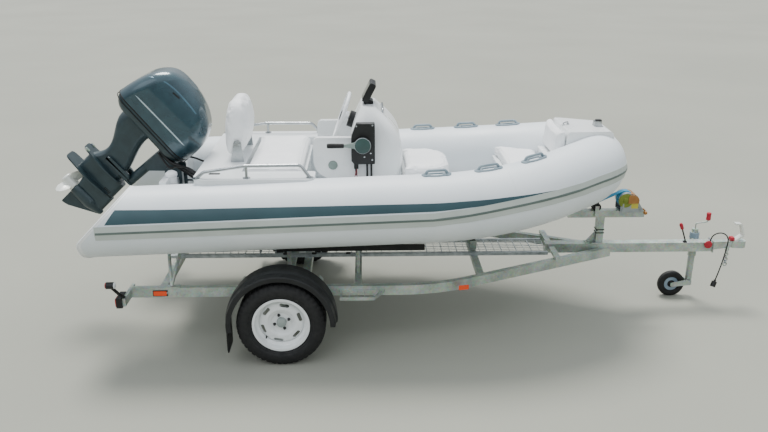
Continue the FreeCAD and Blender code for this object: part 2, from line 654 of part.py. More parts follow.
back_slope = STEP_RAKE / (STEP_TOP - STEP_LEDGE_Z)
bow_back = prism([(STEP_BACK_X - BOW_BACK_THICK, STEP_LEDGE_Z + 2, 14),
                  (STEP_BACK_X - SEAT_GAP, STEP_LEDGE_Z + 2),
                  (STEP_BACK_X + STEP_RAKE * 0.96 - SEAT_GAP, STEP_TOP - 6, 14),
                  (STEP_BACK_X + STEP_RAKE * 0.96 - BOW_BACK_THICK, STEP_TOP - 6, 24)],
                 "xz", -205, 205)
save("bow_backrest", [bow_back.cut(FAT_COLLAR)])
lamp_x = STEP_NOSE_X - 94
lamp_base = prism([(lamp_x - 28, STEP_TOP - 11), (lamp_x + 28, STEP_TOP - 13),
                   (lamp_x + 22, STEP_TOP + 26, 6), (lamp_x - 22, STEP_TOP + 26, 6)],
                  "xz", -26, 26).cut(step)
cleat_x = STEP_BACK_X + 53
cleat = bar([vec(cleat_x - 20, -16, STEP_TOP - 6), vec(cleat_x - 20, -16, STEP_TOP + 16),
             vec(cleat_x + 20, 16, STEP_TOP + 16), vec(cleat_x + 20, 16, STEP_TOP - 6)],
            8.0, 8.0).cut(step)
# Bow eye on the stem for the winch strap
EYE_X = 2216.0
EYE_WIRE = 10.0
EYE_AT = vec(EYE_X, 0, keel_z(EYE_X) - 6)
bow_eye = Part.makeTorus(20, EYE_WIRE / 2, EYE_AT, ACROSS).cut(hull)
save("bow_fittings", [largest(lamp_base), largest(cleat), largest(bow_eye)])

# Grab handles: a low moulded arch on two pads, three to a side; degrees into the sweep
HANDLE_RISE = 30.0
HANDLE_WIRE = 18.0
HANDLE_TURNS = [1.3, 12.4, 23.0]


def handle(centre, heading, up):
    top = centre + up * TUBE_R
    grip = bar([top + heading * -76, top + heading * -56 + up * HANDLE_RISE,
                top + heading * 56 + up * HANDLE_RISE, top + heading * 76], 22.0, HANDLE_WIRE)
    pad = rod(centre, centre + up * (TUBE_R + 6), 2 * 28.0)
    pads = []
    for sign in (-1, 1):
        pads.append(pad.translated(heading * (66 * sign)))
    return grip.fuse(pads).cut(LEVEL_FAT_COLLAR)


handles = []
for turn in HANDLE_TURNS:
    centre, heading = sweep_point(radians(turn))
    up = (UP - heading * heading.dot(UP)).normalize()
    handles.append(pitched(largest(handle(centre, heading, up))))
save("grab_handles", both(handles))



# Outboard motor. Its pieces are drawn upright about the tilt tube, then tipped up.
def tipped(shape):
    moved = shape.copy()
    moved.rotate(vec(0, 0, 0), ACROSS, MOTOR_TILT_DEG)
    moved.translate(vec(TILT_X, 0, TILT_Z))
    return moved


def plan_ring(z, rear, front, half, rear_round, front_round, inset=0.0):
    points = [(rear + inset, -half + inset, rear_round), (front - inset, -half + inset, front_round),
              (front - inset, half - inset, front_round), (rear + inset, half - inset, rear_round)]
    return stand(rounded(points), "xy", z)


# z, rear x, front x, half width, rear corner, front corner
COWL_SECTIONS = [
    (138.0, -622.0, 6.0, 172.0, 80.0, 120.0),
    (225.0, -614.0, 8.0, 178.0, 80.0, 125.0),
    (300.0, -600.0, -4.0, 176.0, 80.0, 125.0),
    (370.0, -579.0, -37.0, 164.0, 78.0, 115.0),
    (444.0, -535.0, -115.0, 140.0, 75.0, 100.0),
    (489.0, -483.0, -222.0, 104.0, 60.0, 80.0),
    (511.0, -400.0, -300.0, 45.0, 30.0, 40.0),
]
COWL_WALL = 6.0
PAN_SECTIONS = [
    (62.0, -566.0, -44.0, 138.0, 60.0, 90.0),
    (100.0, -604.0, -8.0, 164.0, 75.0, 110.0),
    (138.0, -620.0, 4.0, 170.0, 80.0, 118.0),
]
# z, rear x, front x, half width, rear corner, front corner
LEG_SECTIONS = [
    (62.0, -505.0, -262.0, 72.0, 60.0, 50.0),
    (-60.0, -493.0, -262.0, 66.0, 58.0, 48.0),
    (-163.0, -430.0, -226.0, 54.0, 46.0, 44.0),
    (-346.0, -436.0, -180.0, 46.0, 40.0, 40.0),
]
SPLASH_Z = -346.0
VENT_PLATE_Z = -482.0
PLATE_THICK = 10.0
PROP_REAR_X = -345.0
TORPEDO_R = 52.0
SHAFT_R = 15.0

cowl = loft([plan_ring(*section) for section in COWL_SECTIONS])
cowl_inside = loft([plan_ring(z - (1.0 if i == 0 else COWL_WALL), *rest, inset=COWL_WALL)
                    for i, (z, *rest) in enumerate(COWL_SECTIONS)])
save("motor_cowl", [tipped(cowl.cut(cowl_inside))])
pan = loft([plan_ring(*section) for section in PAN_SECTIONS])
pan_inside = loft([plan_ring(z + (8.0 if i == 0 else 1.0 if i == 2 else 0.0), *rest, inset=8.0)
                   for i, (z, *rest) in enumerate(PAN_SECTIONS)])
save("motor_pan", [tipped(pan.cut(pan_inside))])
powerhead = box(-500, -110, -100, 100, 70, 385)
save("powerhead", [tipped(powerhead)])

leg = loft([plan_ring(*section) for section in LEG_SECTIONS])
splash = prism([(-506, -62, 50), (-300, -94, 200), (-159, -70, 50), (-159, 70, 50), (-300, 94, 200),
                (-506, 62, 50)], "xy", SPLASH_Z - PLATE_THICK, SPLASH_Z)
lower_leg = loft([plan_ring(SPLASH_Z - PLATE_THICK, -448, -128, 44, 38, 40),
                  plan_ring(VENT_PLATE_Z, -440, -118, 40, 34, 38)])
steer_shaft = rod(vec(STEER_X, 0, -320), vec(STEER_X, 0, 61), 2 * SHAFT_R)
top_yoke = prism([(-290, -48, 12), (STEER_X + 34, -34, 30), (STEER_X + 34, 34, 30), (-290, 48, 12)],
                 "xy", 47, 61)
low_yoke = prism([(-220, -40, 12), (STEER_X + 32, -32, 28), (STEER_X + 32, 32, 28), (-220, 40, 12)],
                 "xy", -320, -304)
motor_leg = leg.fuse([splash, lower_leg, steer_shaft, top_yoke, low_yoke])
save("motor_leg", [tipped(motor_leg)])

vent_plate = prism([(-540, -66, 40), (-330, -96, 150), (-150, -60, 50), (-150, 60, 50),
                    (-330, 96, 150), (-540, 66, 40)], "xy", VENT_PLATE_Z - PLATE_THICK, VENT_PLATE_Z)
strut = loft([plan_ring(VENT_PLATE_Z - PLATE_THICK, -372, -108, 34, 30, 32),
              plan_ring(PROP_Z + 20, -340, -98, 26, 22, 24)])
torpedo = revolve([(PROP_REAR_X, PROP_Z), (PROP_REAR_X, PROP_Z + TORPEDO_R - 6, 12),
                   (-300, PROP_Z + TORPEDO_R, 60), (-190, PROP_Z + TORPEDO_R, 120),
                   (-84, PROP_Z + 16, 14), (-84, PROP_Z)], vec(0, 0, PROP_Z), AHEAD)
skeg = prism([(-343, PROP_Z - 20), (-332, -786, 10), (-282, -772, 30), (-92, -652), (-98, PROP_Z)],
             "xz", -5, 5)
prop_shaft = rod(vec(PROP_REAR_X + 1, 0, PROP_Z), vec(PROP_REAR_X - 92, 0, PROP_Z), 18)
save("gearcase", [tipped(vent_plate.fuse([strut, torpedo, skeg, prop_shaft]))])

# Propeller: three blades twisted from root to tip
PROP_R = 125.0
HUB_R = 42.0
# radius, chord, pitch angle, thickness
BLADE_SECTIONS = [(30.0, 66.0, 58.0, 12.0), (70.0, 104.0, 42.0, 8.0), (105.0, 92.0, 32.0, 6.0),
                  (PROP_R, 34.0, 27.0, 4.0)]
PROP_MIDDLE_X = PROP_REAR_X - 48.0


def blade():
    wires = []
    for radius, chord, pitch, thick in BLADE_SECTIONS:
        along = vec(math.sin(radians(pitch)), math.cos(radians(pitch)), 0)
        across = vec(-along.y, along.x, 0)
        at = vec(PROP_MIDDLE_X, 0, PROP_Z + radius)
        corners = [at + along * (chord / 2), at + across * (thick / 2),
                   at - along * (chord / 2), at - across * (thick / 2)]
        wires.append(Part.makePolygon(corners + corners[:1]))
    return loft(wires, True)


prop = revolve([(PROP_REAR_X - 2, PROP_Z + 9 + PIN_GAP), (PROP_REAR_X - 2, PROP_Z + HUB_R, 4),
                (PROP_REAR_X - 90, PROP_Z + HUB_R - 6, 10), (PROP_REAR_X - 98, PROP_Z + 24, 6),
                (PROP_REAR_X - 98, PROP_Z + 9 + PIN_GAP)], vec(0, 0, PROP_Z), AHEAD)
one_blade = blade()
for turn in (0, 120, 240):
    turned = one_blade.copy()
    turned.rotate(vec(0, 0, PROP_Z), AHEAD, turn)
    prop = prop.fuse(turned.cut(rod(vec(-500, 0, PROP_Z), vec(-200, 0, PROP_Z), 60)))
save("propeller", [tipped(prop)])

# Swivel bracket: hangs on the tilt tube and carries the steering shaft
TILT_TUBE_R = 16.0
SWIVEL_HALF = 58.0
swivel_tube = rod(vec(STEER_X, 0, -300), vec(STEER_X, 0, 42), 66)
swivel_arm = prism([(20, -20, 18), (20, 24, 20), (-80, 40, 20), (-158, 38), (-158, -130, 20),
                    (-104, -130, 20), (-22, -32, 20)], "xz", -SWIVEL_HALF, SWIVEL_HALF)
swivel_arm = swivel_arm.cut(box(-103, -30, -SWIVEL_HALF + 14, SWIVEL_HALF - 14, -200, 200))
swivel = swivel_arm.fuse(swivel_tube)
swivel = swivel.cut(rod(vec(STEER_X, 0, -400), vec(STEER_X, 0, 100), 2 * (SHAFT_R + PIN_GAP)))
swivel = swivel.cut(rod(vec(0, -200, 0), vec(0, 200, 0), 2 * (TILT_TUBE_R + PIN_GAP)))
save("swivel_bracket", [tipped(swivel)])

# Clamp bracket on the transom, with the tilt tube and two clamp screws
CLAMP_Y = 68.0
CLAMP_THICK = 16.0
HOOK = 22.0
front = TRANSOM_X + TRANSOM_THICK
cheek = prism([(TRANSOM_X - 62, 900, 20), (TRANSOM_X, 822), (TRANSOM_X, TRANSOM_TOP),
               (front, TRANSOM_TOP), (front, 920), (front + HOOK, 920, 6), (front + HOOK, 1096, 20),
               (TRANSOM_X - 46, 1096, 30)], "xz", -CLAMP_Y - CLAMP_THICK, -CLAMP_Y)
clamp = rod(vec(TILT_X, -CLAMP_Y - 30, TILT_Z), vec(TILT_X, CLAMP_Y + 30, TILT_Z), 2 * TILT_TUBE_R)
for piece in both([cheek]):
    clamp = clamp.fuse(piece)
screw_y = CLAMP_Y + CLAMP_THICK / 2
screw = rod(vec(front + HOOK, -screw_y, 960), vec(front + HOOK + 55, -screw_y, 960), 15)
wing = rod(vec(front + HOOK + 48, -screw_y - 34, 960), vec(front + HOOK + 48, -screw_y + 34, 960), 11)
for piece in both([screw.fuse(wing)]):
    clamp = clamp.fuse(piece)
save("motor_clamp", [clamp])


# Trailer frame: two side rails that bend in to a central drawbar
RAIL_BEND_X = 1010.0
RAIL_TURN_DEG = 25.0
RAIL_BEND_R = 1100.0
BAR_REAR_X = 1860.0
BAR_FRONT_X = 3100.0
BAR_HALF = BAR_SIZE / 2
lean = math.tan(radians(RAIL_TURN_DEG / 2))
slope = math.tan(radians(RAIL_TURN_DEG))
outer_y = RAIL_Y + RAIL_WIDE / 2
inner_y = RAIL_Y - RAIL_WIDE / 2
outer_bend = RAIL_BEND_X + lean * RAIL_WIDE / 2
inner_bend = RAIL_BEND_X - lean * RAIL_WIDE / 2
rail_beam = prism([(RAIL_REAR_X, -outer_y), (outer_bend, -outer_y, RAIL_BEND_R),
                   (outer_bend + (outer_y - BAR_HALF) / slope, -BAR_HALF),
                   (inner_bend + (inner_y - BAR_HALF) / slope, -BAR_HALF),
                   (inner_bend, -inner_y, RAIL_BEND_R - RAIL_WIDE), (RAIL_REAR_X, -inner_y)],
                  "xy", RAIL_TOP - RAIL_HIGH, RAIL_TOP)
save("side_beams", both([rail_beam]))
BOTH_RAILS = rail_beam.fuse(mirrored(rail_beam))
drawbar = box(BAR_REAR_X, BAR_FRONT_X, -BAR_HALF, BAR_HALF, BAR_TOP - BAR_SIZE, BAR_TOP)
drawbar = largest(drawbar.cut(BOTH_RAILS))

# Cross members between the rails, then the walkway that lies on them
MEMBER_LONG = 46.0
MEMBER_HIGH = 40.0
MEMBER_TOP = 440.0
members = []
for x in (-790.0, 20.0, 490.0, 1325.0):
    member = box(x - MEMBER_LONG / 2, x + MEMBER_LONG / 2, -inner_y, inner_y,
                 MEMBER_TOP - MEMBER_HIGH, MEMBER_TOP).cut(BOTH_RAILS)
    members.append(largest(member))

WALK_REAR_X = -870.0
WALK_END_X = 1855.0
WALK_HALF = 140.0
WALK_TUBE = 22.0
MESH_THICK = 4.0
MESH_PITCH = 108.0
MESH_BAR = 6.0


def mesh_panel(x0, x1, half, z, columns):
    """Flat panel of square openings."""
    rows = int((x1 - x0) // MESH_PITCH)
    long = (x1 - x0) / rows
    wide = 2 * half / columns
    holes = []
    for row in range(rows):
        for column in range(columns):
            left = x0 + row * long + MESH_BAR / 2
            low = -half + column * wide + MESH_BAR / 2
            holes.append(box(left, left + long - MESH_BAR, low, low + wide - MESH_BAR,
                             z - 1, z + MESH_THICK + 1))
    return box(x0, x1, -half, half, z, z + MESH_THICK).cut(Part.makeCompound(holes))


walk = mesh_panel(WALK_REAR_X, WALK_END_X, WALK_HALF - WALK_TUBE / 2, MEMBER_TOP + 14, 2)
for y in (-WALK_HALF, WALK_HALF - WALK_TUBE):
    walk = walk.fuse(box(WALK_REAR_X, WALK_END_X, y, y + WALK_TUBE, MEMBER_TOP, MEMBER_TOP + WALK_TUBE))
save("walkway", [walk])

# Torsion axle under the rails, trailing arms and stub pins
AXLE_BOX_X = 120.0
AXLE_BOX_SIZE = 56.0
AXLE_BOX_Z = RAIL_TOP - RAIL_HIGH - AXLE_BOX_SIZE / 2 - 8
ARM_IN_Y = 662.0
ARM_THICK = 34.0
STUB_R = 17.0
axle = box(AXLE_BOX_X - AXLE_BOX_SIZE / 2, AXLE_BOX_X + AXLE_BOX_SIZE / 2, -ARM_IN_Y, ARM_IN_Y,
           AXLE_BOX_Z - AXLE_BOX_SIZE / 2, AXLE_BOX_Z + AXLE_BOX_SIZE / 2)
for y in (-outer_y, inner_y - 10):
    axle = axle.fuse(box(AXLE_BOX_X - 75, AXLE_BOX_X + 75, y, y + RAIL_WIDE + 10,
                         AXLE_BOX_Z + AXLE_BOX_SIZE / 2, RAIL_TOP - RAIL_HIGH))
arm_low = prism([(-34, TYRE_R - 34, 33), (34, TYRE_R - 34, 20), (AXLE_BOX_X + 40, AXLE_BOX_Z - 40, 36),
                 (AXLE_BOX_X + 40, AXLE_BOX_Z + 40, 36), (AXLE_BOX_X - 20, AXLE_BOX_Z + 40, 20),
                 (-34, TYRE_R + 34, 33)], "xz", -ARM_IN_Y - ARM_THICK, -ARM_IN_Y)
stub = rod(vec(0, -ARM_IN_Y - ARM_THICK, TYRE_R), vec(0, -WHEEL_Y - 30, TYRE_R), 2 * STUB_R)
for piece in both([arm_low.fuse(stub)]):
    axle = axle.fuse(piece)
save("axle", [axle])


def wheel_ring(points):
    """Solid of revolution about the axle; points are y from the wheel's middle and radius."""
    spots = [(-WHEEL_Y - p[0], TYRE_R + p[1]) + tuple(p[2:]) for p in points]
    return Part.Face(stand(rounded(spots), "yz")).revolve(vec(0, 0, TYRE_R), ACROSS, 360)


# y counts outward
TYRE_HALF = TYRE_WIDE / 2
tyre = wheel_ring([(-66, RIM_R - 4), (66, RIM_R - 4), (67, RIM_R + 12), (TYRE_HALF, RIM_R + 34, 22),
                   (TYRE_HALF - 1, TYRE_R - 34, 26), (TYRE_HALF - 20, TYRE_R, 16),
                   (20 - TYRE_HALF, TYRE_R, 16), (1 - TYRE_HALF, TYRE_R - 34, 26),
                   (-TYRE_HALF, RIM_R + 34, 22), (-67, RIM_R + 12)])
rim_well = wheel_ring([(-73, RIM_R - 6), (-73, RIM_R + 9, 2), (-68, RIM_R + 9, 2),
                       (-67 + SEAT_GAP, RIM_R - 4 - SEAT_GAP, 1), (-20, RIM_R - 4 - SEAT_GAP, 4),
                       (-10, RIM_R - 22, 8), (22, RIM_R - 22, 8), (32, RIM_R - 4 - SEAT_GAP, 4),
                       (66.7, RIM_R - 4 - SEAT_GAP, 1), (68, RIM_R + 9, 2), (73, RIM_R + 9, 2),
                       (73, RIM_R - 8, 3), (34, RIM_R - 12, 5), (26, RIM_R - 30, 8),
                       (-14, RIM_R - 30, 8), (-26, RIM_R - 12, 5)])
rim_disc = wheel_ring([(16, 31), (16, 62, 8), (38, 92, 18), (34, 132, 20), (12, RIM_R - 27),
                       (7, RIM_R - 27), (28, 130, 20), (32, 94, 14), (11, 66, 8), (11, 31)])
slots = []
for step_no in range(6):
    slot = prism([(-29, TYRE_R + 111, 10), (29, TYRE_R + 111, 10), (33, TYRE_R + 133, 10),
                  (-33, TYRE_R + 133, 10)], "xz", -WHEEL_Y - 80, -WHEEL_Y)
    slot.rotate(vec(0, 0, TYRE_R), ACROSS, 60 * step_no + 11)
    slots.append(slot)
rim_disc = rim_disc.cut(Part.makeCompound(slots))
rim = rim_well.fuse(rim_disc)
hub = wheel_ring([(-108, STUB_R + PIN_GAP), (-108, 58, 8), (11, 58), (11, 30), (46, 30, 8), (46, 0.01),
                  (40, 0.01), (40, STUB_R + PIN_GAP)])
for side, turn in (("starboard", False), ("port", True)):
    for name, shape in (("tyre", tyre), ("rim", rim.fuse(hub))):
        save("%s_%s" % (name, side), [mirrored(shape) if turn else shape])

# Mudguards with a lip and a hanging flap, on straps from the rails
GUARD_R = 350.0
GUARD_THICK = 4.0
GUARD_IN_Y = 712.0
GUARD_OUT_Y = 914.0
guard_face = Part.Face(stand(rounded([
    (-GUARD_IN_Y, TYRE_R + GUARD_R - GUARD_THICK), (-GUARD_IN_Y, TYRE_R + GUARD_R),
    (-765, TYRE_R + GUARD_R, 8), (-785, TYRE_R + GUARD_R + 8, 8), (-835, TYRE_R + GUARD_R + 8, 8),
    (-855, TYRE_R + GUARD_R, 8), (-GUARD_OUT_Y, TYRE_R + GUARD_R - 4, 8),
    (-GUARD_OUT_Y, TYRE_R + GUARD_R - 36), (-GUARD_OUT_Y + GUARD_THICK, TYRE_R + GUARD_R - 36),
    (-GUARD_OUT_Y + GUARD_THICK, TYRE_R + GUARD_R - 8, 4), (-853, TYRE_R + GUARD_R - GUARD_THICK, 8),
    (-833, TYRE_R + GUARD_R + 4, 8), (-787, TYRE_R + GUARD_R + 4, 8),
    (-767, TYRE_R + GUARD_R - GUARD_THICK, 8)]), "yz"))
guard = guard_face.revolve(vec(0, 0, TYRE_R), ACROSS, 186)
guard.rotate(vec(0, 0, TYRE_R), ACROSS, -96)
FLAP_LOW = 90.0
flap_x = -GUARD_R + 6
flap = prism([(-GUARD_IN_Y - 8, FLAP_LOW, 20), (-GUARD_OUT_Y + 8, FLAP_LOW, 40),
              (-GUARD_OUT_Y + 8, 330), (-GUARD_IN_Y - 8, 330)], "yz", flap_x, flap_x + 5)
strap = box(240, 264, -GUARD_IN_Y - 30, -outer_y, 400, 620)
strap = strap.cut(box(200, 300, -GUARD_IN_Y - 60, -outer_y - 5, 300, 498))
strap = strap.common(Part.makeCylinder(GUARD_R - GUARD_THICK - SEAT_GAP, 400, vec(0, -1000, TYRE_R), ACROSS))
strap_rear = strap.mirror(vec(0, 0, 0), AHEAD)
save("mudguards", both([guard.fuse(flap)]))

# Meshed step on each side, ahead of the wheel
STEP_X0 = 372.0
STEP_X1 = 665.0
STEP_OUT_Y = 775.0
STEP_Z = 402.0
side_step = prism([(STEP_X0, -outer_y), (STEP_X0, -STEP_OUT_Y), (STEP_X1 - 70, -STEP_OUT_Y),
                   (STEP_X1, -outer_y)], "xy", STEP_Z, STEP_Z + 22)
side_step = side_step.cut(prism([(STEP_X0 + 14, -outer_y - 10), (STEP_X0 + 14, -STEP_OUT_Y + 12),
                                 (STEP_X1 - 80, -STEP_OUT_Y + 12), (STEP_X1 - 24, -outer_y - 10)],
                                "xy", STEP_Z - 1, STEP_Z + 30))
for x in (430.0, 480.0, 530.0):
    side_step = side_step.fuse(box(x, x + 5, -STEP_OUT_Y + 5, -outer_y, STEP_Z + 8, STEP_Z + 13))

# Bunks, rear pads and keel rollers that carry the hull
DEADRISE = (HULL_STATIONS[0][3] - KEEL_Z) / HULL_STATIONS[0][2]
BUNK_Y = 400.0
BUNK_HALF = 42.0


def hull_pad(x0, x1, y, half, thick):
    """Pad whose top follows the hull's bottom on the starboard side."""
    near = KEEL_Z + (y - half) * DEADRISE - SEAT_GAP
    far = KEEL_Z + (y + half) * DEADRISE - SEAT_GAP
    return prism([(-y + half, near), (-y + half, near - thick), (-y - half, far - thick),
                  (-y - half, far)], "yz", x0, x1)


BUNK_REAR_X = -60.0
BUNK_FRONT_X = 940.0
bunk = hull_pad(BUNK_REAR_X, BUNK_FRONT_X, BUNK_Y, BUNK_HALF, 42.0)
rear_pad = hull_pad(-795.0, -665.0, 455.0, 30.0, 26.0)
bunk_low = KEEL_Z + (BUNK_Y - BUNK_HALF) * DEADRISE - 42.0 - SEAT_GAP
posts = []
for x in (20.0, 490.0):
    post = box(x - 12, x + 12, -BUNK_Y - 20, -BUNK_Y + 20, MEMBER_TOP, bunk_low + 60)
    posts.append(post.cut(bunk).Solids[0])
foot_z = RAIL_TOP + 6
rear_foot = box(-785, -675, -outer_y, -inner_y, RAIL_TOP, foot_z)
for top_x in (-770.0, -690.0):
    top = vec(top_x, -470, KEEL_Z + 470 * DEADRISE - 20)
    rear_foot = rear_foot.fuse(rod(vec(-730, -RAIL_Y, foot_z - 3), top, 22))
rear_foot = rear_foot.cut(rear_pad).cut(BOTH_RAILS)

ROLLER_R = 20.0
rollers = []
roller_cheeks = []
for x in (-790.0, 1325.0):
    centre_z = keel_z(x) - ROLLER_R - 1.0
    rollers.append(rod(vec(x, -48, centre_z), vec(x, 48, centre_z), 2 * ROLLER_R))
    for y in (-56.0, 48.0):
        roller_cheeks.append(box(x - 24, x + 24, y, y + 8, MEMBER_TOP + 14 + MESH_THICK, centre_z + 12))
supports = both(posts) + both([largest(rear_foot)]) + roller_cheeks
# Flat bar that ties the two rails together where they meet the drawbar
tie = box(BAR_REAR_X + 20, BAR_REAR_X + 60, -283, 283, RAIL_TOP, RAIL_TOP + 22).cut(drawbar)
save("cross_members", [supports.pop(0).fuse(members + supports + tie.Solids)])

# Winch post, its arm with the bow stop, and the winch
POST_X = 2255.0
POST_HALF = 26.0
ARM_Z = 684.0
ARM_HIGH = 50.0
ARM_X0 = 2010.0
ARM_X1 = 2566.0
post = box(POST_X - POST_HALF, POST_X + POST_HALF, -POST_HALF, POST_HALF, BAR_TOP + 8, ARM_Z)
post = post.fuse(box(POST_X - 60, POST_X + 60, -46, 46, BAR_TOP, BAR_TOP + 8))
post = post.fuse(prism([(POST_X - POST_HALF, BAR_TOP + 8), (POST_X - 96, BAR_TOP + 8),
                        (POST_X - POST_HALF, BAR_TOP + 90)], "xz", -4, 4))
post = post.fuse(box(POST_X - 100, POST_X - 50, -20, 20, BAR_TOP, BAR_TOP + 8))
winch_arm = box(ARM_X0, ARM_X1, -30, 30, ARM_Z, ARM_Z + ARM_HIGH).cut(hull)
post = post.fuse(largest(winch_arm))
# Bow stop: two rubber rollers between cheeks, one on each side of the bow eye
STOP_X = 2212.0
STOP_R = 30.0
stop_z = ARM_Z + ARM_HIGH + STOP_R + 1
post = post.fuse(box(STOP_X - 14, STOP_X + 14, -52, 52, ARM_Z + 30, ARM_Z + 42))
for y in (-52, 44):
    post = post.fuse(box(STOP_X - 14, STOP_X + 14, y, y + 8, ARM_Z + 10, stop_z + 12))
bow_stops = []
for y in (-42, 12):
    bow_stops.append(rod(vec(STOP_X, y, stop_z), vec(STOP_X, y + 30, stop_z), 2 * STOP_R).cut(hull))
save("hull_pads", both([bunk, rear_pad]) + rollers + bow_stops)
save("winch_post", [post])
WINCH_X = 2422.0
DRUM_UP = 86.0
DRUM_R = 56.0
arm_top = ARM_Z + ARM_HIGH
drum_z = arm_top + DRUM_UP
winch_side = prism([(WINCH_X - 46, arm_top), (WINCH_X + 118, arm_top), (WINCH_X + 118, arm_top + 18, 8),
                    (WINCH_X + 86, arm_top + 70, 20), (WINCH_X + 40, arm_top + 128, 24),
                    (WINCH_X - 46, arm_top + 112, 34)], "xz", -62, -58)
drum = rod(vec(WINCH_X, -58, drum_z), vec(WINCH_X, 58, drum_z), 2 * DRUM_R)
winch = drum.fuse([winch_side, mirrored(winch_side)])
winch = winch.fuse(rod(vec(WINCH_X, 58, drum_z), vec(WINCH_X, 96, drum_z), 18))
save("winch", [winch.fuse(box(WINCH_X - 46, WINCH_X + 118, -62, 62, arm_top, arm_top + 5))])

# Coupling head, its handle and the safety chain
HEAD_X0 = BAR_FRONT_X + 6
HEAD_END = 3354.0
SOCKET_R = 25.2
SOCKET_X = HEAD_END - 38
socket = prism([(SOCKET_X - 66, -30), (SOCKET_X - 10, -38, 30), (HEAD_END, -38, 30), (HEAD_END, 38, 30),
                (SOCKET_X - 10, 38, 30), (SOCKET_X - 66, 30)], "xy", BAR_TOP - 46, BAR_TOP + 4)
neck = prism([(HEAD_X0 - 3, BAR_TOP - 62), (SOCKET_X - 50, BAR_TOP - 42, 20),
              (SOCKET_X - 50, BAR_TOP + 1), (HEAD_X0 - 3, BAR_TOP + 1)], "xz", -24, 24)
collar_plate = box(BAR_FRONT_X, HEAD_X0, -48, 48, BAR_TOP - BAR_SIZE - 6, BAR_TOP + 10)
coupling = socket.fuse([neck, collar_plate]).removeSplitter()
coupling = coupling.cut(rod(vec(SOCKET_X, 0, BAR_TOP - 60), vec(SOCKET_X, 0, BAR_TOP - 14),
                            2 * SOCKET_R))
CHAIN_TOP = vec(3214, -32, BAR_TOP - 57)
LINK_R = 13.0
LINK_WIRE = 7.0
LINK_STEP = 19.5
hook = rod(vec(CHAIN_TOP.x, -20, CHAIN_TOP.z + LINK_R - LINK_WIRE / 2 - 3.2),
           CHAIN_TOP + vec(0, -10, LINK_R - LINK_WIRE / 2 - 3.2), 6)
save("coupling", [coupling.fuse(hook)])
handle_plate = prism([(3262, BAR_TOP + 4), (3290, BAR_TOP + 4), (3336, BAR_TOP + 44, 20),
                      (3306, BAR_TOP + 138, 10), (3258, BAR_TOP + 140), (3258, BAR_TOP + 130),
                      (3298, BAR_TOP + 128, 10), (3322, BAR_TOP + 50, 16)], "xz", -22, 22)
save("coupling_handle", [handle_plate])

links = []
for i in range(7):
    link = Part.makeTorus(LINK_R, LINK_WIRE / 2, vec(0, 0, 0), AHEAD if i % 2 else ACROSS)
    links.append(link.translated(CHAIN_TOP - UP * (LINK_STEP * i)))
save("safety_chain", [links[0].fuse(links[1:])])

# Strap from the winch drum to the bow eye
STRAP_HALF = 22.0
strap_top = drum_z + DRUM_R + 1.0
winch_strap = prism([(EYE_X + 16, EYE_AT.z - 4), (WINCH_X - 20, strap_top), (WINCH_X + 14, strap_top),
                     (WINCH_X + 14, strap_top + 4), (WINCH_X - 22, strap_top + 4),
                     (EYE_X + 14, EYE_AT.z)], "xz", -STRAP_HALF, STRAP_HALF)
save("winch_strap", [winch_strap.cut(bow_eye).cut(winch)])

# Lighting cable: looped up from the drawbar, then hanging beside the coupling to its plug
CABLE = 9.0
CABLE_POINTS = [(3084, -22, 487), (3088, -24, 515), (3103, -28, 540), (3128, -34, 556),
                (3157, -41, 559), (3183, -47, 547), (3199, -52, 523), (3202, -57, 492),
                (3190, -68, 439), (3167, -90, 364), (3141, -112, 292), (3113, -130, 224)]


def cord_path(points):
    """Straight runs joined by arcs as large as their runs allow; prints the arcs' radii."""
    edges = []
    last = points[0]
    radii = []
    for before, at, after in zip(points, points[1:], points[2:]):
        back = before - at
        ahead = after - at
        reach = 0.45 * min(back.Length, ahead.Length)
        half = back.getAngle(ahead) / 2
        radius = reach * math.tan(half)
        radii.append(round(radius))
        back.normalize()
        ahead.normalize()
        inward = (back + ahead).normalize()
        start = at + back * reach
        end = at + ahead * reach
        middle = at + inward * (radius / math.sin(half) - radius)
        edges.append(Part.LineSegment(last, start).toShape())
        edges.append(Part.Arc(start, middle, end).toShape())
        last = end
    edges.append(Part.LineSegment(last, points[-1]).toShape())
    print("cord arcs", radii, "length", round(sum(edge.Length for edge in edges)))
    return Part.Wire(edges)


cable_points = [vec(*point) for point in CABLE_POINTS]
cable_line = (cable_points[1] - cable_points[0]).normalize()
gland = rod(cable_points[0] - cable_line * 8, cable_points[0], 20)
save("trailer_cable", [sweep_round(cord_path(cable_points), CABLE)])
plug_line = (cable_points[-1] - cable_points[-2]).normalize()
plug = rod(cable_points[-1], cable_points[-1] + plug_line * 12, 18)
plug = plug.fuse(rod(cable_points[-1] + plug_line * 12, cable_points[-1] + plug_line * 54, 38))
save("trailer_plug", [plug])

# Jockey wheel on the port side of the drawbar
JOCKEY_X = 3010.0
JOCKEY_Y = 90.0
JOCKEY_R = 100.0
JOCKEY_TRAIL = 132.0
SLEEVE_R = 30.0
LEG_R = 24.0
sleeve = rod(vec(JOCKEY_X, JOCKEY_Y, BAR_TOP - 150), vec(JOCKEY_X, JOCKEY_Y, BAR_TOP + 38), 2 * SLEEVE_R)
sleeve = sleeve.cut(rod(vec(JOCKEY_X, JOCKEY_Y, 0), vec(JOCKEY_X, JOCKEY_Y, 700), 2 * (LEG_R + PIN_GAP)))
clamp_block = box(JOCKEY_X - 32, JOCKEY_X + 32, BAR_HALF, JOCKEY_Y - LEG_R - 3, BAR_TOP - 60, BAR_TOP - 4)
save("drawbar", [drawbar.fuse([sleeve.fuse(clamp_block), gland])])
LEG_LOW = 138.0
leg_tube = rod(vec(JOCKEY_X, JOCKEY_Y, LEG_LOW), vec(JOCKEY_X, JOCKEY_Y, BAR_TOP + 64), 2 * LEG_R)
